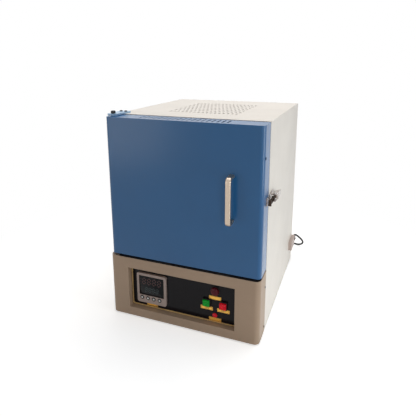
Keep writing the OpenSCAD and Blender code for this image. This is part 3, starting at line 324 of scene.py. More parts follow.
def panel_film(name, rgba):
    """Black gloss control panel: faint grain, dust and finger marks."""
    s = Shader(name)
    s.colour(s.mix(s.remap(s.noise(420, 3), 0.5, 0.8, 0, 0.4), rgba, scaled(rgba, 1.9)))
    s.rough(s.remap(s.noise(30, 5, 0.65), 0.35, 0.75, 0.1, 0.26))
    s.bump(s.noise(90, 2), 0.00002)
    return s.set(Specular_Ior_Level=0.12)


def wire(name, rgba):
    """Scaled resistance wire."""
    s = Shader(name)
    scale = s.noise(900, 4, 0.7)
    body = s.mix(s.remap(scale, 0.35, 0.65, 0, 1), scaled(rgba, 0.7), scaled(rgba, 1.3))
    s.colour(body)
    s.rough(s.remap(scale, 0.3, 0.7, 0.45, 0.7))
    s.bump(scale, 0.00008)
    return s.set(Metallic=0.7)


M = {
    "ivory": paint("ivory_coat", srgb(237, 230, 221), 0.4, 0.1),
    # beige is the casing's ivory paint darkened with painted shade, as on the base front, which
    # faces away from the light
    "beige": paint("ivory_in_painted_shade_coat", srgb(176, 152, 130), 0.44, 0.05, spec=0.25),
    "blue": paint("blue_coat", srgb(32, 95, 148), 0.4, 0.7, vary=0.04, wear_and_highlight=0.12, spec=0.1),
    "pale_blue": paint("pale_blue_coat", srgb(160, 196, 228), 0.34, 0.2),
    # The inlet box's pink grey is the casing's ivory paint with painted shade
    "pink_grey": paint("inlet_painted_shade_coat", srgb(192, 174, 166), 0.45, 0.05),
    "zinc": metal("zinc_sheet", srgb(184, 186, 188), 0.42, (0, 0, 0), 0.00003, 0.3),
    "bright": metal("bright_steel", srgb(206, 206, 208), 0.24, (0, 1, 0), 0.00003, 0.2),
    "dark": metal("dark_steel", srgb(72, 60, 52), 0.36, (0, 1, 0), 0.00004, 0.35),
    # The latch's dark brown edges are painted shade
    "nickel": metal(
        "latch_nickel", srgb(206, 198, 194), 0.26, (0, 1, 0), 0.00003, 0.25, rim=srgb(74, 50, 44)
    ),
    "screw": metal("black_screw", srgb(30, 30, 34), 0.45, (0, 0, 0), 0.00003, 0.2, 0.2),
    "champagne": metal(
        "satin_aluminium", srgb(200, 182, 164), 0.28, (0, 0, 1), 0.00004, 0.06, 0.95
    ),
    "raw": metal("raw_aluminium", srgb(200, 201, 203), 0.36, (0, 1, 0)),
    "brass": metal("brass", srgb(196, 162, 88), 0.32, (0, 0, 0)),
    "fibre": fibre("fibre_board", srgb(232, 226, 214), srgb(206, 182, 150)),
    "hearth": fibre("hearth_ceramic", srgb(214, 196, 166), srgb(176, 146, 110), 0.0003),
    "ceramic": fibre("white_ceramic", srgb(240, 238, 230), srgb(226, 214, 194), 0.0001),
    "element": wire("element_wire", srgb(86, 80, 76)),
    "rope": fibre("rope_fibre", srgb(226, 218, 200), srgb(206, 190, 160), 0.0005),
    "panel": panel_film("panel_black", srgb(24, 22, 25)),
    "bezel": plastic("bezel_grey", srgb(164, 146, 138), 0.42),
    "display": panel_film("display_glass", srgb(15, 17, 20)),
    "key_white": plastic("key_white", srgb(238, 238, 234), 0.35),
    "key_ring": plastic("key_ring", srgb(26, 25, 28), 0.5, spec=0.2),
    "legend": metal("legend_yellow", srgb(250, 192, 84), 0.36, (1, 0, 0), 0.00002, 0.06, 0.55),
    "ink": plastic("legend_ink", srgb(38, 32, 26), 0.5, 0.00002),
    "dome": lens("dome_lens", srgb(104, 20, 38), 0.0, 420),
    "pilot": lens("pilot_lens", srgb(214, 26, 44), 0.30, 700),
    "green": lens("green_cap", srgb(4, 158, 44), 0.25, 260),
    "red": lens("red_cap", srgb(228, 14, 36), 0.30, 260),
    "housing": plastic("housing_black", srgb(30, 28, 30), 0.5, spec=0.2),
    "black": plastic("black_plastic", srgb(26, 26, 29), 0.5, spec=0.25),
    "terminal": plastic("terminal_plastic", srgb(214, 204, 178), 0.45),
    "rubber": rubber("foot_rubber", srgb(36, 36, 38)),
    "cord": rubber("cord_sheath", srgb(36, 36, 39), 0.5, 0.00005, 0.2),
    "segment": plastic("segment_off", srgb(74, 30, 26), 0.3, 0.00001),
    "segment_teal": plastic("segment_off_teal", srgb(30, 58, 60), 0.3, 0.00001),
    "trim": plastic("window_trim", srgb(222, 186, 124), 0.36),
    # Dark foam used as painted shade in the gap under the door, round the window and in the door's
    # edge hole
    "foam": rubber("foam_and_shade_strip", srgb(22, 22, 26), 0.85, 0.0003, 0.04),
}

BY_SLOT = {
    "ivory_paint": "ivory", "beige_paint": "beige", "blue_paint": "blue",
    "pale_blue_paint": "pale_blue", "zinc_sheet": "zinc", "bright_steel": "bright",
    "dark_steel": "dark", "black_screws": "screw", "satin_aluminium": "champagne",
    "raw_aluminium": "raw", "brass": "brass", "fibre_board": "fibre",
    "hearth_ceramic": "hearth", "white_ceramic": "ceramic", "element_wire": "element",
    "rope_seal": "rope", "panel_black": "panel", "bezel_grey": "bezel",
    "display_dark": "display", "key_white": "key_white", "legend_yellow": "legend",
    "lamp_dark_red": "dome", "lamp_red": "pilot", "green_cap": "green", "red_cap": "red",
    "housing_plastic": "housing", "black_plastic": "black", "terminal_plastic": "terminal",
    "foot_rubber": "rubber", "cord_sheath": "cord",
}
OWN_FINISH = {"inlet_box": "pink_grey", "latch_lever": "nickel", "latch_base": "nickel",
              "latch_strike": "nickel"}
slot_of = {part["node"]: part["material_slot"] for part in frame["record"]["subparts"]}
for name, obj in nodes.items():
    chosen = M[OWN_FINISH.get(name) or BY_SLOT[slot_of[name]]]
    obj.data.materials.clear()
    obj.data.materials.append(chosen)


# Making meshes: sizes are written in millimetres and turned to metres here

UP, FORWARD, RIGHT = (0, 0, 1), (0, -1, 0), (1, 0, 0)
NO_ENDS = (False, False)
# Distance in metres under which two points are one
WELD = 1e-6
# Degrees under which a facet counts as flat, a dressed edge stays soft and is left unbroken
FLAT_ANGLE, SOFT_ANGLE, BROKEN_ANGLE = 0.6, 25, 30
body_of = {n: b for b, ns in frame["record"]["behaviour"]["bodies"].items() for n in ns}


def settle(obj, body, replaces=()):
    """Puts a piece in the scene, riding on its body."""
    scene.collection.objects.link(obj)
    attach(obj, body)
    if replaces:
        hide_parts(*replaces)
    return obj


def finish_mesh(name, bm, mat, body, replaces=(), angle=38):
    """A mesh object from a bmesh, with soft faces, sharp edges kept, riding on its body."""
    bmesh.ops.recalc_face_normals(bm, faces=bm.faces)
    for face in bm.faces:
        face.smooth = True
    limit = math.radians(angle)
    for edge in bm.edges:
        edge.smooth = len(edge.link_faces) == 2 and edge.calc_face_angle(0) < limit
    data = bpy.data.meshes.new(name)
    bm.to_mesh(data)
    bm.free()
    for m in mat if isinstance(mat, (list, tuple)) else [mat]:
        data.materials.append(M[m])
    return settle(bpy.data.objects.new(name, data), body, replaces)


def frame_at(at, way):
    """Turns a shape made along +Z so that it runs along way from at, in millimetres."""
    turn = Vector(way).to_track_quat("Z", "Y").to_matrix().to_4x4()
    return Matrix.Translation(Vector(at) * MM) @ turn @ Matrix.Scale(MM, 4)


# Forms of a turned piece: the share of its radius at an angle

def round_form(a):
    return 1.0


def hex_form(a):
    return math.cos(math.pi / 6) / math.cos((a + math.pi / 6) % (math.pi / 3) - math.pi / 6)


def knurl_form(a):
    depth, ridges = 0.022, 24
    return 1.0 + depth * (1 if math.sin(ridges * a) > 0 else -1)


def cross_form(a):
    arm = 0.24
    near = (a + math.pi / 4) % (math.pi / 2) - math.pi / 4
    return min(1.0, arm / max(1e-6, abs(math.sin(near))))


def rib_form(count, depth):
    return lambda a: 1.0 + depth * math.cos(count * a)


def skin(bm, loops, ends=(True, True), mat=0):
    """Faces between neighbouring loops of points, and caps at the ends that are closed."""
    for lower, upper in zip(loops, loops[1:]):
        for k in range(len(lower)):
            n = (k + 1) % len(lower)
            bm.faces.new((lower[k], lower[n], upper[n], upper[k])).material_index = mat
    if ends[0]:
        bm.faces.new(list(reversed(loops[0]))).material_index = mat
    if ends[1]:
        bm.faces.new(loops[-1]).material_index = mat


def turned(bm, rings, at, way, seg, ends=(True, True), mat=0):
    """A turned piece: rings are (height, radius, form), from one end to the other."""
    place = frame_at(at, way)
    loops = []
    for h, r, form in rings:
        loop = []
        for k in range(seg):
            a = 2 * math.pi * k / seg
            f = form(a)
            p = Vector((r * f * math.cos(a), r * f * math.sin(a), h))
            loop.append(bm.verts.new(place @ p))
        loops.append(loop)
    skin(bm, loops, ends, mat)


def plain(*pairs):
    """Round rings for a turned piece, from pairs of height and radius."""
    return [(h, r, round_form) for h, r in pairs]


def outline_rect(w, h, r, steps=6):
    """Corner-rounded rectangle as points round its middle."""
    out = []
    for cx, cy, a0 in ((1, 1, 0), (-1, 1, 90), (-1, -1, 180), (1, -1, 270)):
        for k in range(steps + 1):
            a = math.radians(a0 + 90 * k / steps)
            out.append((cx * (w / 2 - r) + r * math.cos(a), cy * (h / 2 - r) + r * math.sin(a)))
    return out


def pillow(bm, w, h, layers, at, way, r, steps):
    """A rounded block as stacked outlines: layers are (height, inset) along way."""
    x_axis, z_axis = Vector(RIGHT), Vector(way)
    y_axis = z_axis.cross(x_axis)
    loops = []
    for up, inset in layers:
        outline = outline_rect(w - 2 * inset, h - 2 * inset, max(0.3, r - inset), steps)
        loops.append([
            bm.verts.new((Vector(at) + x_axis * a + y_axis * b + z_axis * up) * MM)
            for a, b in outline
        ])
    skin(bm, loops)


def swept(bm, path, section, width_axis, closed=False):
    """A section carried along a flat path; the section's first number runs along width_axis."""
    w = Vector(width_axis)
    n = len(path)
    rings = []
    for i, p in enumerate(path):
        if closed:
            way = Vector(path[(i + 1) % n]) - Vector(path[i - 1])
        else:
            way = Vector(path[min(i + 1, n - 1)]) - Vector(path[max(i - 1, 0)])
        side = way.normalized().cross(w).normalized()
        shape = section(i) if callable(section) else section
        rings.append([bm.verts.new((Vector(p) + w * a + side * b) * MM) for a, b in shape])
    if closed:
        skin(bm, rings + rings[:1], NO_ENDS)
    else:
        skin(bm, rings)


def arc(cx, cy, r, a0, a1, steps):
    """Points of an arc round (cx, cy), from angle a0 to a1 in degrees."""
    angles = [math.radians(a0 + (a1 - a0) * k / steps) for k in range(steps + 1)]
    return [(cx + r * math.cos(a), cy + r * math.sin(a)) for a in angles]


def wire_curve(name, points, radius, mat, body, replaces, around):
    """A round wire, cord or tube as one curve; points and radius in millimetres."""
    data = bpy.data.curves.new(name, "CURVE")
    data.dimensions = "3D"
    data.bevel_depth = radius * MM
    data.bevel_resolution = around
    data.use_fill_caps = True
    line = data.splines.new("POLY")
    line.points.add(len(points) - 1)
    for spot, p in zip(line.points, points):
        spot.co = (p[0] * MM, p[1] * MM, p[2] * MM, 1)
    line.use_smooth = True
    data.materials.append(M[mat])
    return settle(bpy.data.objects.new(name, data), body, replaces)


def dressed(node, width, segments=2):
    """A CAD node's own shape with its edges broken, to stand for that node."""
    bm = bmesh.new()
    bm.from_mesh(nodes[node].data)
    bmesh.ops.remove_doubles(bm, verts=bm.verts, dist=WELD)
    flat = math.radians(FLAT_ANGLE)
    bmesh.ops.dissolve_limit(bm, angle_limit=flat, verts=bm.verts, edges=bm.edges)
    chosen = next(k for k, v in M.items() if v == nodes[node].data.materials[0])
    obj = finish_mesh(
        node + "_dressed", bm, chosen, body_of[node], (node,), SOFT_ANGLE
    )
    cut = obj.modifiers.new("edges", "BEVEL")
    cut.width = width * MM
    cut.segments = segments
    cut.limit_method = "ANGLE"
    cut.angle_limit = math.radians(BROKEN_ANGLE)
    cut.use_clamp_overlap = True
    cut.harden_normals = True


# Mains lead: a gland, a tapered strain relief, the free lead, its coil and its plug

def smooth_route(p, steps):
    """A smooth line through the points, with that many steps between two of them."""
    out = []
    for i in range(len(p) - 1):
        a, b, c, e = p[max(i - 1, 0)], p[i], p[i + 1], p[min(i + 2, len(p) - 1)]
        for k in range(steps):
            s = k / steps
            out.append(tuple(
                0.5 * (
                    2 * b[j] + (c[j] - a[j]) * s
                    + (2 * a[j] - 5 * b[j] + 4 * c[j] - e[j]) * s * s
                    + (3 * b[j] - a[j] - 3 * c[j] + e[j]) * s ** 3
                ) for j in range(3)
            ))
    return out + [tuple(map(float, p[-1]))]


CORD_D, COIL_R, COIL_PITCH, COIL_TURNS, TURN_STEPS = 7.0, 53.0, 7.7, 3, 36
PLUG_AXIS, PLUG_REACH = 9.5, 40
glo, ghi = span("cord_gland")
(gx, _, gz), gland_end = middle(glo, ghi), ghi.y
inlet_face = span("inlet_box")[1].y
# Across, back, and the share of its drop to the floor that is left
lead_steps = [
    (0, 0, 1), (0, 8, 1), (2, 18, 0.968), (7, 28, 0.88), (14, 38, 0.753), (21, 48, 0.614),
    (26, 59, 0.462), (27, 70, 0.31), (23, 80, 0.171), (14, 87, 0.07), (2, 93, 0.013),
    (-14, 99, 0), (-36, 104, 0), (-60, 107, 0), (-86, 108, 0), (-110, 108, 0), (-126, 108, 0),
]
route = [
    (gx + dx, gland_end + dy, CORD_D / 2 + left * (gz - CORD_D / 2))
    for dx, dy, left in lead_steps
]
coil_middle = (route[-1][0], route[-1][1] - COIL_R, CORD_D / 2)
coil_turned = 2 * COIL_TURNS + 0.5


def coil_at(s):
    """A point of the coil after s turns: inwards on the floor, then outwards on top."""
    inner = COIL_TURNS + 0.25
    r = COIL_R - COIL_PITCH * (s if s < inner else 2 * inner - s)
    if s < COIL_TURNS:
        up = 0.0
    elif s > COIL_TURNS + 0.5:
        up = COIL_PITCH
    else:
        up = COIL_PITCH * (1 - math.cos(2 * math.pi * (s - COIL_TURNS))) / 2
    a = math.radians(90 + 360 * s)
    x, y, z = coil_middle
    return (x + r * math.cos(a), y + r * math.sin(a), z + up)


turns = [coil_at(i / TURN_STEPS) for i in range(1, int(coil_turned * TURN_STEPS) + 1)]
last = turns[-1]
plug_at = (coil_middle[0] + PLUG_REACH, last[1], PLUG_AXIS)
tail = [tuple(last[j] + k / 4 * (plug_at[j] - last[j]) for j in range(3)) for k in range(1, 5)]
cord_points = smooth_route(route, 5) + turns + tail
cord_steps = zip(cord_points, cord_points[1:])
cord_length = sum((Vector(a) - Vector(b)).length for a, b in cord_steps) * MM
lead = wire_curve(
    "mains_lead", cord_points, CORD_D / 2, "cord", "cabinet",
    ("mains_cord", "mains_cord_coil"), 5
)

bm = bmesh.new()
gland_at, gland_way = (gx, inlet_face, gz), (0, 1, 0)
turned(bm, plain((-8, 4.6), (0.3, 4.6)), gland_at, gland_way, 32)
turned(bm, [
    (0.05, 8.4, rib_form(12, 0.012)), (0.6, 9.0, rib_form(12, 0.02)),
    (5.6, 9.0, rib_form(12, 0.02)), (7.2, 8.5, round_form), (8, 7.4, round_form),
], gland_at, gland_way, 72)
relief = []
for k in range(6):
    up = 8 + 3.3 * k
    r = 7.0 - 0.33 * k
    relief += plain((up - 0.1, r - 0.9), (up + 0.25, r), (up + 2.1, r - 0.15), (up + 2.5, r - 0.9))
relief += plain((27.4, 4.9), (28, 4.4))
turned(bm, relief, gland_at, gland_way, 36)
gland = finish_mesh("lead_relief", bm, "black", "cabinet", ("cord_gland",))

# The plug lies on its back, its pins up
px, py = plug_at[:2]
plug_mid, screw_x, earth_x, blade_x, blade_off = px + 39, px + 27, px + 49, px + 31, 11
GRIP_X, GRIP_PITCH, GRIP_OFF, PIN_FOOT = 24, 4.2, 22.9, 20
bm = bmesh.new()
boot = []
for k in range(3):
    up = 4.3 * k
    boot += plain((up, 4.3), (up + 0.6, 5.0), (up + 3.0, 5.0), (up + 3.6, 4.3))
turned(bm, boot + plain((14.2, 4.6)), plug_at, RIGHT, 32)
pillow(bm, 50, 46, [
    (0, 2.6), (0.8, 1.0), (2.6, 0.15), (9.5, 0), (9.9, 0.35), (10.3, 0), (17.4, 0.15),
    (19.2, 1.0), (20, 2.6),
], (plug_mid, py, 0), UP, 9, 8)
for s in (-1, 1):
    for k in range(5):
        pillow(bm, 1.6, 0.9, [(0, 0.2), (0.6, 0), (10.4, 0), (11, 0.2)],
               (px + GRIP_X + GRIP_PITCH * k, py + s * GRIP_OFF, 4.2), UP, 0.4, 2)
turned(bm, plain((19.6, 3.6), (20.15, 3.4)) + [(20.15, 2.6, cross_form), (19.9, 2.4, cross_form)],
       (screw_x, py, 0), UP, 64)
plug = finish_mesh("lead_plug", bm, "black", "cabinet", ("mains_plug",))
bm = bmesh.new()
pillow(bm, 3.9, 3.9, [(PIN_FOOT, 0), (38.4, 0), (39.3, 0.25), (39.8, 0.7)],
       (earth_x, py, 0), UP, 0.7, 3)
for s in (-1, 1):
    pillow(bm, 3.9, 5.9, [(PIN_FOOT, 0), (36.4, 0), (37.3, 0.25), (37.8, 0.7)],
           (blade_x, py + s * blade_off, 0), UP, 0.7, 3)
pins = finish_mesh("plug_pins", bm, "brass", "cabinet")
bm = bmesh.new()
for s in (-1, 1):
    pillow(bm, 4.0, 6.0, [(PIN_FOOT, 0), (27.5, 0), (28.2, 0.2)],
           (blade_x, py + s * blade_off, 0), UP, 0.8, 3)
sleeves = finish_mesh("pin_sleeves", bm, "black", "cabinet")


# Handle: a drawn aluminium bar bent to a U, screwed on from inside the door

BAR_DEPTH, BAR_BEND, BAR_CORNER = 9, 9.5, 2.7
lo, hi = span("door_handle")
hx, _, hz = middle(lo, hi)
half = (hi.z - lo.z) / 2 - BAR_DEPTH / 2
front = lo.y + BAR_DEPTH / 2
bend_y, leg_y = front + BAR_BEND, front + BAR_BEND + 6
low_bend = arc(bend_y, hz - half + BAR_BEND, BAR_BEND, 270, 180, 12)
high_bend = arc(bend_y, hz + half - BAR_BEND, BAR_BEND, 180, 90, 12)
path = [(hx, hi.y, hz - half), (hx, leg_y, hz - half)]
path += [(hx, y, z) for y, z in low_bend]
path += [(hx, front, hz + half * k / 6) for k in range(-4, 5)]
path += [(hx, y, z) for y, z in high_bend]
path += [(hx, leg_y, hz + half), (hx, hi.y, hz + half)]
bm = bmesh.new()
swept(bm, path, outline_rect(hi.x - lo.x, BAR_DEPTH, BAR_CORNER, 5), RIGHT)
finish_mesh("handle_bar", bm, "champagne", "door", ("door_handle",))


# Screws and bolts

def screw_head(bm, at, way, r, h, deep=1.1, seg=64):
    """A pan head with a cross recess."""
    dome = plain((0, r), (0.35 * h, r), (0.7 * h, 0.9 * r), (0.93 * h, 0.68 * r), (h, 0.58 * r))
    recess = [(h, 0.52 * r, cross_form), (h - deep, 0.36 * r, cross_form)]
    turned(bm, dome + recess, at, way, seg)


BOLT_HEAD, SHANK_R = 8, 4
lo, hi = span("hinge_bolts")
bx, by, _ = middle(lo, hi)
bm = bmesh.new()
turned(bm, [
    (0, 6.3, round_form), (0.4, 6.5, knurl_form), (6.6, 6.5, knurl_form), (7.4, 6.1, round_form),
    (BOLT_HEAD, 5.5, round_form), (BOLT_HEAD, 3.6, hex_form), (4.2, 3.6, hex_form),
], (bx, by, hi.z - BOLT_HEAD), UP, 96)
turned(bm, plain((0, SHANK_R), (32.5, SHANK_R)), (bx, by, hi.z - 40.2), UP, 32)
turned(bm, plain((0, SHANK_R), (28, SHANK_R)), (bx, by, lo.z + 3.9), UP, 32)
turned(bm, [(0, 6.3, hex_form), (4, 6.5, hex_form)], (bx, by, lo.z), UP, 48)
finish_mesh("hinge_pivots", bm, "screw", "cabinet", ("hinge_bolts",))

# Radius and height of the heads on the upper and on the lower bracket
UPPER_HEAD, LOWER_HEAD, SCREW_R = (4.5, 3), (4.3, 2.6), 2.5
lo, hi = span("hinge_screws")
upper_y, lower_y = hi.y - UPPER_HEAD[0], lo.y + 4.4
bm = bmesh.new()
for x in (lo.x + UPPER_HEAD[0], hi.x - UPPER_HEAD[0]):
    screw_head(bm, (x, upper_y, hi.z - UPPER_HEAD[1]), UP, *UPPER_HEAD)
    turned(bm, plain((0, 1.4), (1.5, SCREW_R), (14, SCREW_R)), (x, upper_y, hi.z - 16), UP, 24)
    screw_head(bm, (x, lower_y, lo.z + 10.1), UP, *LOWER_HEAD)
    turned(bm, plain((0, 1.4), (1.5, SCREW_R), (10, SCREW_R)), (x, lower_y, lo.z), UP, 24)
finish_mesh("hinge_screw_set", bm, "screw", "cabinet", ("hinge_screws",))

SEAM_R, SEAM_HEAD = 3, 1.4
lo, hi = span("seam_screws")
bm = bmesh.new()
_, seam_y, _ = middle(lo, hi)
for z in (lo.z + SEAM_R, hi.z - SEAM_R):
    for s, x in ((1, hi.x - SEAM_HEAD), (-1, lo.x + SEAM_HEAD)):
        screw_head(bm, (x, seam_y, z), (s, 0, 0), SEAM_R, SEAM_HEAD, 0.7)
        turned(bm, plain((0, 1.5), (3.9, 1.5)), (x - s * 3.9, seam_y, z), (s, 0, 0), 16)
finish_mesh("seam_screw_set", bm, "screw", "cabinet", ("seam_screws",))


# Latch: broken edges on the pressed pieces, round coiled springs, base screws

# The two springs, each round one rod of the hook
SPRING_R, SPRING_WIRE, SPRING_CURLS, CURL_STEPS, ROD_OFF = 2.4, 0.5, 8, 16, 4
for n, w in (("latch_base", 0.35), ("latch_lever", 0.35), ("latch_strike", 0.35),
             ("latch_hook", 0.3), ("latch_rivets", 0.35)):
    dressed(n, w)
lo, hi = span("latch_springs")
coil_x, _, middle_z = middle(lo, hi)
spring_l, spring_steps = hi.y - lo.y - 2 * SPRING_WIRE, SPRING_CURLS * CURL_STEPS
for s, side in ((-1, "a"), (1, "b")):
    rod_z = middle_z + s * ROD_OFF
    pts = []
    for i in range(spring_steps + 1):
        a = 2 * math.pi * i / CURL_STEPS
        y = lo.y + SPRING_WIRE + spring_l * i / spring_steps
        pts.append((coil_x + SPRING_R * math.cos(a), y, rod_z + SPRING_R * math.sin(a)))
    wire_curve("latch_spring_" + side, pts, SPRING_WIRE, "dark", "latch_hook",
               ("latch_springs",), 3)
lo, hi = span("latch_base")
bm = bmesh.new()
for y in (lo.y + 5, hi.y - 5):
    for s in (-1, 1):
        screw_head(bm, (lo.x + 1.6, y, middle_z + s * 9.5), RIGHT, 2.2, 1.3, 0.6, 32)
finish_mesh("latch_base_screws", bm, "bright", "cabinet")
lo, hi = span("latch_strike")
bm = bmesh.new()
for s in (-1, 1):
    screw_head(bm, (lo.x + 1.5, hi.y - 5, middle_z + s * 6.5), RIGHT, 2.0, 1.1, 0.5, 32)
finish_mesh("latch_strike_screws", bm, "bright", "door")


# Sheet-metal trim and the pieces with broken edges

for n, w in (("hinge_brackets", 0.6), ("inlet_box", 0.5), ("rubber_feet", 1.0),
             ("hearth_plate", 1.2), ("door_bushes", 0.2)):
    dressed(n, w)


def slab(bm, outline, z0, z1):
    """A flat piece with upright sides, from its plan."""
    skin(bm, [[bm.verts.new(Vector((x, y, z)) * MM) for x, y in outline] for z in (z0, z1)])


def picture_frame(bm, middle_at, outer, inner, back, front, soft=0.0):
    """A rectangular ring facing the front; outer and inner are width, height and corner."""
    rows = [(outer, back, 0), (outer, front + soft, 0), (outer, front, soft),
            (inner, front, -soft), (inner, front + soft, 0), (inner, back, 0)]
    loops = []
    for (w, h, r), y, inset in rows:
        outline = outline_rect(w - 2 * inset, h - 2 * inset, max(0.2, r - inset), 6)
        loops.append([
            bm.verts.new(Vector((middle_at[0] + a, y, middle_at[1] + b)) * MM) for a, b in outline
        ])
    skin(bm, loops + loops[:1], NO_ENDS)


# Dark strip on the ledge under the door, from the hinge to the rounded corner, as painted shade in
# the gap
STRIP_IN, STRIP_H, LEDGE_CORNER, STRIP_DEEP = 1.5, 3.4, 15, 20
blo, bhi = span("base_front_panel")
strip_l = span("hinge_brackets")[1].x + 2
plan = [(strip_l, blo.y + STRIP_DEEP), (strip_l, blo.y + STRIP_IN)]
plan += arc(bhi.x - LEDGE_CORNER, blo.y + LEDGE_CORNER, LEDGE_CORNER - STRIP_IN, 270, 360, 8)
plan += [(bhi.x - STRIP_IN, blo.y + STRIP_DEEP)]
bm = bmesh.new()
slab(bm, plan, bhi.z, bhi.z + STRIP_H)
finish_mesh("ledge_shade_strip", bm, "foam", "cabinet")

# Dark seal as painted shade in the groove, and raised bead round the control panel, on the lip of
# the window
# How much smaller the window is than the panel, and the other outlines than the window
PANEL_LAP, SHADE_LAP, SHADE_BAND, BEAD_BAND = 20, 0.2, 2.8, 7.6
plo, phi = span("control_panel")
panel_x, _, panel_z = middle(plo, phi)
win_w, win_h, lip_face = phi.x - plo.x - PANEL_LAP, phi.z - plo.z - PANEL_LAP, plo.y - 1.5
bead_out = (win_w - SHADE_BAND, win_h - SHADE_BAND, 4)
bm = bmesh.new()
picture_frame(bm, (panel_x, panel_z), (win_w - SHADE_LAP, win_h - SHADE_LAP, 1), bead_out,
              lip_face, lip_face - 0.3)
finish_mesh("window_shade_seal", bm, "foam", "cabinet")
bm = bmesh.new()
picture_frame(bm, (panel_x, panel_z), bead_out, (win_w - BEAD_BAND, win_h - BEAD_BAND, 6),
              lip_face + 1.5, lip_face - 2.2, 0.7)
finish_mesh("window_bead", bm, "trim", "cabinet")

# Dark plug in the small hole in the door's right edge, as painted shade in the hole
dlo, dhi = span("door_pan")
bm = bmesh.new()
turned(bm, plain((-1.4, 1.9), (0, 1.9), (0, 4.2), (0.4, 4.2), (0.8, 3.4)),
       (dhi.x, dlo.y + 13, dhi.z - 84), RIGHT, 24)
finish_mesh("edge_hole_shade_plug", bm, "foam", "door")


# Controller: bezel, dark window with unlit digits, four keys

lo, hi = span("controller_bezel")
dressed("controller_bezel", 0.8, 3)
dlo, dhi = span("controller_display")
dx, _, dz = middle(dlo, dhi)
bm = bmesh.new()
pillow(bm, dhi.x - dlo.x, dhi.z - dlo.z, [(0, 0), (1.2, 0), (1.4, 0.3)],
       (dx, dhi.y, dz), FORWARD, 1.5, 4)
finish_mesh("display_window", bm, "display", "cabinet", ("controller_display",))

# Place of each segment in half widths and half heights, and whether it lies or stands
SEGMENTS = (
    (0, 1, "lies"), (0, 0, "lies"), (0, -1, "lies"),
    (-1, 0.5, "stands"), (1, 0.5, "stands"), (-1, -0.5, "stands"), (1, -0.5, "stands"),
)
DIGIT_LEAN, DIGIT_DEEP = 0.12, 0.25


def digit(bm, x, z, w, h, stroke, y, mat):
    """One seven-segment figure, every segment drawn, leaning a little."""
    for ux, uz, run in SEGMENTS:
        mx, mz = x + ux * w / 2, z + uz * h / 2
        length = (w if run == "lies" else h / 2) - stroke * 1.25
        e, k = length / 2, stroke / 2
        if run == "lies":
            pts = [(-e, 0), (-e + k, k), (e - k, k), (e, 0), (e - k, -k), (-e + k, -k)]
        else:
            pts = [(0, -e), (k, -e + k), (k, e - k), (0, e), (-k, e - k), (-k, -e + k)]
        loop = []
        for a, b in pts:
            lean = (mz + b - z) * DIGIT_LEAN
            loop.append(bm.verts.new(Vector((mx + a + lean, y, mz + b)) * MM))
        rear = [bm.verts.new(v.co + Vector((0, DIGIT_DEEP * MM, 0))) for v in loop]
        bm.faces.new(loop).material_index = mat
        skin(bm, [loop, rear], NO_ENDS, mat)
        bm.faces.new(list(reversed(rear))).material_index = mat


bm = bmesh.new()
# Pitch, height above the middle, width, height, stroke and colour of each row of figures
for step, up, w, h, stroke, mat in ((16.5, 13.5, 9.6, 19, 2.3, 0), (12, -13.5, 7.2, 13.5, 1.7, 1)):
    for i in range(4):
        digit(bm, dx + step * (i - 1.5), dz + up, w, h, stroke, dlo.y - 0.06, mat)
for k in range(5):
    turned(bm, plain((0, 1.1), (0.2, 0.9)), (dx - 36, dlo.y + 0.1, dz + 20 - 9 * k), FORWARD, 16)
finish_mesh("display_digits", bm, ["segment", "segment_teal"], "cabinet")

KEY_R, KEY_SPOT = 5, 2.9
for i in range(1, 5):
    klo, khi = span(f"key_{i}")
    kx, _, kz = middle(klo, khi)
    at, long = (kx, khi.y, kz), khi.y - klo.y
    bm = bmesh.new()
    turned(bm, plain((0, KEY_R), (long - 1.0, KEY_R), (long - 0.5, 4.8), (long - 0.3, 4.4),
                     (long - 0.4, KEY_SPOT)), at, FORWARD, 40, (True, False), 0)
    turned(bm, plain((long - 0.4, KEY_SPOT), (long - 0.15, 2.8), (long - 0.04, 2.4), (long, 1.4)),
           at, FORWARD, 40, (False, True), 1)
    finish_mesh(f"key_cap_{i}", bm, ["key_ring", "key_white"], f"key_{i}",
                (f"key_{i}",))
    bm = bmesh.new()
    turned(bm, plain((-0.3, 5.35), (0.35, 5.35), (0.55, 5.6), (0.35, 6.3), (-0.3, 6.45)),
           (kx, lo.y, kz), FORWARD, 48, NO_ENDS)
    finish_mesh(f"key_rim_{i}", bm, "key_ring", "cabinet")


# Push-buttons, lamps and legend plates

dressed("switch_bodies", 0.5)
for n, m in (("start_button", "green"), ("stop_button", "red")):
    blo, bhi = span(n)
    button_x, _, button_z = middle(blo, bhi)
    long, w = bhi.y - blo.y, bhi.x - blo.x
    bm = bmesh.new()
    pillow(bm, w, w, [
        (0, 0), (long - 1.3, 0), (long - 0.5, 0.35), (long - 0.1, 1.0), (long, 1.9),
        (long - 0.25, 3.1), (long - 0.6, 3.7), (long - 0.55, 6.5),
    ], (button_x, bhi.y, button_z), FORWARD, 2.2, 5)
    finish_mesh(n + "_cap", bm, m, n, (n,))

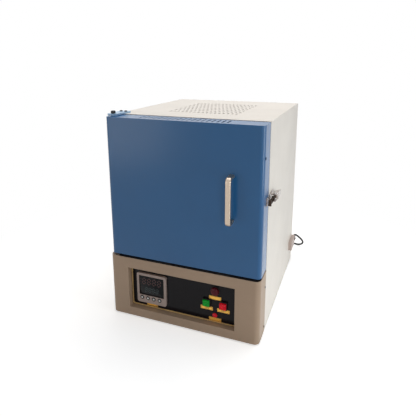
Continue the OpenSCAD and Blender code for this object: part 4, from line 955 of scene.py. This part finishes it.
COLLAR_WALL, DOME_STEPS, DOME_RING = 1.5, 8, 0.1
for n, m in (("dome_lamp", "dome"), ("pilot_lamp", "pilot")):
    llo, lhi = span(n)
    lx, _, lz = middle(llo, lhi)
    out, rr = lhi.y - llo.y, (lhi.x - llo.x) / 2
    r = rr - COLLAR_WALL
    bm = bmesh.new()
    turned(bm, plain((0, rr), (1.2, rr), (1.7, rr - 0.3), (2, rr - 0.9), (2, r + 0.05),
                     (0.2, r + 0.05)), (lx, lhi.y, lz), FORWARD, 64, (True, False))
    finish_mesh(n + "_collar", bm, "housing", "cabinet")
    side, top_r = out * 0.48, r * 0.985
    rings = [(0.2, r, round_form), (side * 0.8, r, rib_form(30, 0.012)),
             (side, top_r, rib_form(30, 0.01))]
    for k in range(1, DOME_STEPS + 1):
        a = k / DOME_STEPS * math.pi / 2
        step = DOME_RING if k % 2 else 0.0
        up = side + (out - side) * math.sin(a) - step
        rings.append((up, max(0.4, top_r * math.cos(a)), round_form))
    bm = bmesh.new()
    turned(bm, rings, (lx, lhi.y, lz), FORWARD, 60)
    finish_mesh(n + "_lens", bm, m, "cabinet", (n,))


def piece_middles(node):
    """The middle of each separate solid of a node, seen from the front, top row first."""
    bm = bmesh.new()
    bm.from_mesh(nodes[node].data)
    bmesh.ops.remove_doubles(bm, verts=bm.verts, dist=WELD)
    middles, seen = [], set()
    for v in bm.verts:
        if v in seen:
            continue
        island, queue = [], [v]
        seen.add(v)
        while queue:
            u = queue.pop()
            island.append(u)
            for e in u.link_edges:
                o = e.other_vert(u)
                if o not in seen:
                    seen.add(o)
                    queue.append(o)
        xs = [u.co.x / MM for u in island]
        zs = [u.co.z / MM for u in island]
        middles.append(((min(xs) + max(xs)) / 2, (min(zs) + max(zs)) / 2))
    bm.free()
    return sorted(middles, key=lambda p: (-p[1], p[0]))


lo, hi = span("legend_plates")
plate_w, plate_h = 37.0, 10.5
plates = piece_middles("legend_plates")
bm = bmesh.new()
for x, z in plates:
    pillow(bm, plate_w, plate_h, [(0, 0), (0.5, 0), (0.8, 0.3)], (x, hi.y, z), FORWARD, 1, 4)
finish_mesh("legend_set", bm, "legend", "cabinet", ("legend_plates",))

# A thin border and two small fixing pins on each plate
bm = bmesh.new()
border_y, pin_off = lo.y - 0.03, plate_w / 2 - 3
for x, z in plates:
    loops = [
        [bm.verts.new(Vector((x + a, border_y, z + b)) * MM) for a, b in outline]
        for outline in (outline_rect(plate_w - 2.2, plate_h - 2.2, 0.8, 3),
                        outline_rect(plate_w - 3.2, plate_h - 3.2, 0.5, 3))
    ]
    skin(bm, loops, NO_ENDS)
    for s in (-1, 1):
        turned(bm, plain((0, 0.8), (0.35, 0.7), (0.5, 0.4)), (x + s * pin_off, lo.y + 0.1, z),
               FORWARD, 12)
finish_mesh("legend_borders", bm, "ink", "cabinet")


LETTER_SIZE, LETTER_DEEP = 8.0, 0.06


def words(name, text, x, y, z):
    """Generic lettering cut as thin flat letters, facing the front."""
    data = bpy.data.curves.new(name, "FONT")
    data.body = text
    data.size = LETTER_SIZE * MM
    data.align_x, data.align_y = "CENTER", "CENTER"
    data.extrude = LETTER_DEEP * MM
    obj = bpy.data.objects.new(name, data)
    scene.collection.objects.link(obj)
    bpy.context.view_layer.update()
    graph = bpy.context.evaluated_depsgraph_get()
    mesh = bpy.data.meshes.new_from_object(obj.evaluated_get(graph))
    bpy.data.objects.remove(obj)
    upright = Matrix.Rotation(math.pi / 2, 4, "X")
    mesh.transform(Matrix.Translation((x * MM, y * MM, z * MM)) @ upright)
    mesh.materials.clear()
    mesh.materials.append(M["ink"])
    settle(bpy.data.objects.new(name, mesh), "cabinet")


# The two plates under the buttons
(slo, shi), (tlo, thi) = span("start_button"), span("stop_button")
button_xs = ((slo.x + shi.x) / 2, (tlo.x + thi.x) / 2)
row = sorted(p for p in plates if p[1] < slo.z and min(abs(p[0] - x) for x in button_xs) < 2)
for (x, z), text in zip(row, ("ON", "OFF")):
    words("legend_" + text.lower(), text, x, lo.y - 0.04, z)


# Chamber: wound heating wire in its grooves, rope seal on the door

# The wound wire in the grooves, and its narrower link from one groove to the next
WIND_R, WIND_PITCH, WIND_STEPS, RUN_END, GROOVE_PITCH = 3.1, 4.0, 10, 4, 50
LINK_R, LINK_GAP, LINK_STEPS = 2.3, 3, 120
WIRE_R = 0.75
lo, hi = span("heating_elements")
clo, chi = span("side_boards")
rlo, rhi = span("rear_board")
wall_mid, wall_half = (rlo.x + rhi.x) / 2, (rhi.x - rlo.x) / 2
run_y0, run_y1 = lo.y + 0.6, hi.y - 0.6
run_l = run_y1 - run_y0 - 2 * RUN_END
run_steps = int(run_l / WIND_PITCH) * WIND_STEPS
runs = [round((clo.z + chi.z) / 2 + k * GROOVE_PITCH, 3) for k in range(-2, 3)]
for s, side in ((-1, "left"), (1, "right")):
    wall_x = wall_mid + s * wall_half
    pts = []
    for i, z in enumerate(runs):
        for k in range(run_steps + 1) if i % 2 else range(run_steps, -1, -1):
            a = 2 * math.pi * k / WIND_STEPS
            y = run_y0 + RUN_END + run_l * k / run_steps
            pts.append((wall_x + WIND_R * math.cos(a), y, z + WIND_R * math.sin(a)))
        if i < len(runs) - 1:
            y_turn = run_y1 - RUN_END if i % 2 else run_y0 + RUN_END
            climb = runs[i + 1] - z - 2 * LINK_GAP
            for k in range(1, LINK_STEPS):
                a = 2 * math.pi * k / WIND_STEPS
                pts.append((wall_x + LINK_R * math.cos(a), y_turn + LINK_R * math.sin(a),
                            z + LINK_GAP + climb * k / LINK_STEPS))
    wire_curve("element_coil_" + side, pts, WIRE_R, "element", "cabinet",
               ("heating_elements",), 1)
bm = bmesh.new()
for s, end_x in ((-1, lo.x), (1, hi.x)):
    wall_x = wall_mid + s * wall_half
    for z in (runs[0], runs[-1]):
        turned(bm, plain((0, WIND_R), (abs(end_x - wall_x), WIND_R)),
               (wall_x, run_y1 - RUN_END, z), (s, 0, 0), 24)
finish_mesh("element_leads", bm, "element", "cabinet")

ROPE_HALF, ROPE_CORNER, ROPE_STEP, ROPE_TWIST = 8, 10, 2.0, 0.55
lo, hi = span("door_seal")
seal_x, seal_y, seal_z = middle(lo, hi)
deep = hi.y - lo.y
seal_w, seal_h = hi.x - lo.x - 2 * ROPE_HALF, hi.z - lo.z - 2 * ROPE_HALF
loop = [(seal_x + a, seal_y, seal_z + b) for a, b in outline_rect(seal_w, seal_h, ROPE_CORNER, 8)]
dense = []
for p, q in zip(loop, loop[1:] + loop[:1]):
    steps = max(1, int((Vector(q) - Vector(p)).length / ROPE_STEP))
    dense += [tuple(p[j] + (q[j] - p[j]) * k / steps for j in range(3)) for k in range(steps)]


def rope_section(i):
    """The rope's flattened section at its i-th ring, with the lay of its strands."""
    twist = i * ROPE_TWIST
    out = []
    for k in range(20):
        a = 2 * math.pi * k / 20
        lay = 1 - 0.07 * abs(math.sin(3 * a + twist)) - 0.05 * abs(math.sin(3 * a - twist))
        ca, sa = math.cos(a), math.sin(a)
        out.append((deep / 2 * math.copysign(abs(ca) ** 0.7, ca) * lay,
                    ROPE_HALF * math.copysign(abs(sa) ** 0.8, sa) * lay))
    return out


bm = bmesh.new()
swept(bm, dense, rope_section, (0, 1, 0), True)
finish_mesh("rope_gasket", bm, "rope", "door", ("door_seal",), 60)


# Floor, light and world

# The floor's own glow, and the distances from the part between which it turns plain white
FLOOR_LIFT, FADE_FROM, FADE_TO = 0.52, 0.45, 1.0
# Half the floor's width in metres, laid in squares of one metre
FLOOR_HALF = 4
# Strength of the world as a light, and as it is seen
AMBIENT, SURROUND = 0.12, 1.0


def floor_material():
    """Pale floor that fades into a plain white surround away from the part."""
    s = Shader("floor")
    grain = s.noise(6, 3)
    s.colour(s.mix(s.remap(grain, 0.3, 0.7, 0, 1), (0.86, 0.86, 0.86, 1), (0.9, 0.9, 0.9, 1)))
    s.rough(s.remap(grain, 0.3, 0.7, 0.85, 0.95))
    s.set(Specular_Ior_Level=0.0)
    lift = s.add("ShaderNodeEmission")
    lift.inputs["Strength"].default_value = FLOOR_LIFT
    both = s.add("ShaderNodeAddShader")
    s.join(s.bsdf.outputs[0], both.inputs[0])
    s.join(lift.outputs[0], both.inputs[1])
    rays = s.add("ShaderNodeLightPath")
    pick = s.add("ShaderNodeMixShader")
    through = s.math(
        "MAXIMUM", rays.outputs["Is Glossy Ray"], rays.outputs["Is Transmission Ray"]
    )
    seen = s.math("MAXIMUM", rays.outputs["Is Camera Ray"], through)
    reach = s.add("ShaderNodeVectorMath", operation="LENGTH")
    s.join(s.place, reach.inputs[0])
    plain_white = s.add("ShaderNodeEmission")
    fade = s.add("ShaderNodeMixShader")
    s.join(s.remap(reach.outputs["Value"], FADE_FROM, FADE_TO, 0, 1), fade.inputs[0])
    s.join(both.outputs[0], fade.inputs[1])
    s.join(plain_white.outputs[0], fade.inputs[2])
    s.join(seen, pick.inputs[0])
    s.join(s.bsdf.outputs[0], pick.inputs[1])
    s.join(fade.outputs[0], pick.inputs[2])
    s.join(pick.outputs[0], s.out.inputs[0])
    return s.mat


bm = bmesh.new()
for x in range(-FLOOR_HALF, FLOOR_HALF):
    for y in range(-FLOOR_HALF, FLOOR_HALF):
        corners = ((x, y), (x + 1, y), (x + 1, y + 1), (x, y + 1))
        bm.faces.new([bm.verts.new((i, j, 0)) for i, j in corners])
bmesh.ops.remove_doubles(bm, verts=bm.verts, dist=1e-5)
data = bpy.data.meshes.new("floor")
bm.to_mesh(data)
bm.free()
data.materials.append(floor_material())
floor = bpy.data.objects.new("floor", data)
scene.collection.objects.link(floor)

world = bpy.data.worlds.new("studio")
scene.world = world
world.use_nodes = True
tree = world.node_tree
tree.nodes.clear()
w_out = tree.nodes.new("ShaderNodeOutputWorld")
rays = tree.nodes.new("ShaderNodeLightPath")
soft = tree.nodes.new("ShaderNodeBackground")
soft.inputs["Color"].default_value = (1, 0.99, 0.975, 1)
soft.inputs["Strength"].default_value = AMBIENT
white = tree.nodes.new("ShaderNodeBackground")
white.inputs["Color"].default_value = (1, 1, 1, 1)
white.inputs["Strength"].default_value = SURROUND
through = tree.nodes.new("ShaderNodeMath")
through.operation = "MAXIMUM"
seen = tree.nodes.new("ShaderNodeMath")
seen.operation = "MAXIMUM"
pick = tree.nodes.new("ShaderNodeMixShader")
for a, b in (
    (rays.outputs["Is Camera Ray"], through.inputs[0]),
    (rays.outputs["Is Transmission Ray"], through.inputs[1]),
    (through.outputs[0], seen.inputs[0]),
    (rays.outputs["Is Glossy Ray"], seen.inputs[1]),
    (seen.outputs[0], pick.inputs[0]),
    (soft.outputs[0], pick.inputs[1]),
    (white.outputs[0], pick.inputs[2]),
    (pick.outputs[0], w_out.inputs[0]),
):
    tree.links.new(a, b)


def softbox(name, at, towards, size, energy, tint):
    """A rectangular area lamp that the camera doesn't see."""
    light = bpy.data.lights.new(name, "AREA")
    light.shape = "RECTANGLE"
    light.size, light.size_y = size
    light.energy = energy
    light.color = tint
    obj = bpy.data.objects.new(name, light)
    obj.location = at
    obj.rotation_mode = "QUATERNION"
    obj.rotation_quaternion = (Vector(towards) - Vector(at)).to_track_quat("-Z", "Y")
    obj.visible_camera = False
    scene.collection.objects.link(obj)


# Place and aim in metres, size, power in watts and tint
softbox("key_right", (1.15, -0.36, 0.36), (0.2, -0.05, 0.32), (0.45, 0.45), 3.5, (0.9, 0.97, 1))
softbox("top", (0.2, 0.3, 2.6), (0, 0, 0.5), (2.0, 2.0), 41, (1, 0.985, 0.965))
softbox("left_fill", (-1.3, -1.8, 0.45), (-0.1, -0.27, 0.4), (0.9, 0.9), 4.0, (1, 0.97, 0.94))
softbox("front_right", (1.2, -1.73, 0.70), (0.14, -0.27, 0.4), (0.35, 0.35), 4.2, (1, 0.975, 0.95))
softbox("back_fill", (-1.2, 1.8, 0.30), (0, 0.1, 0.30), (1.2, 0.5), 13, (1, 0.99, 0.97))
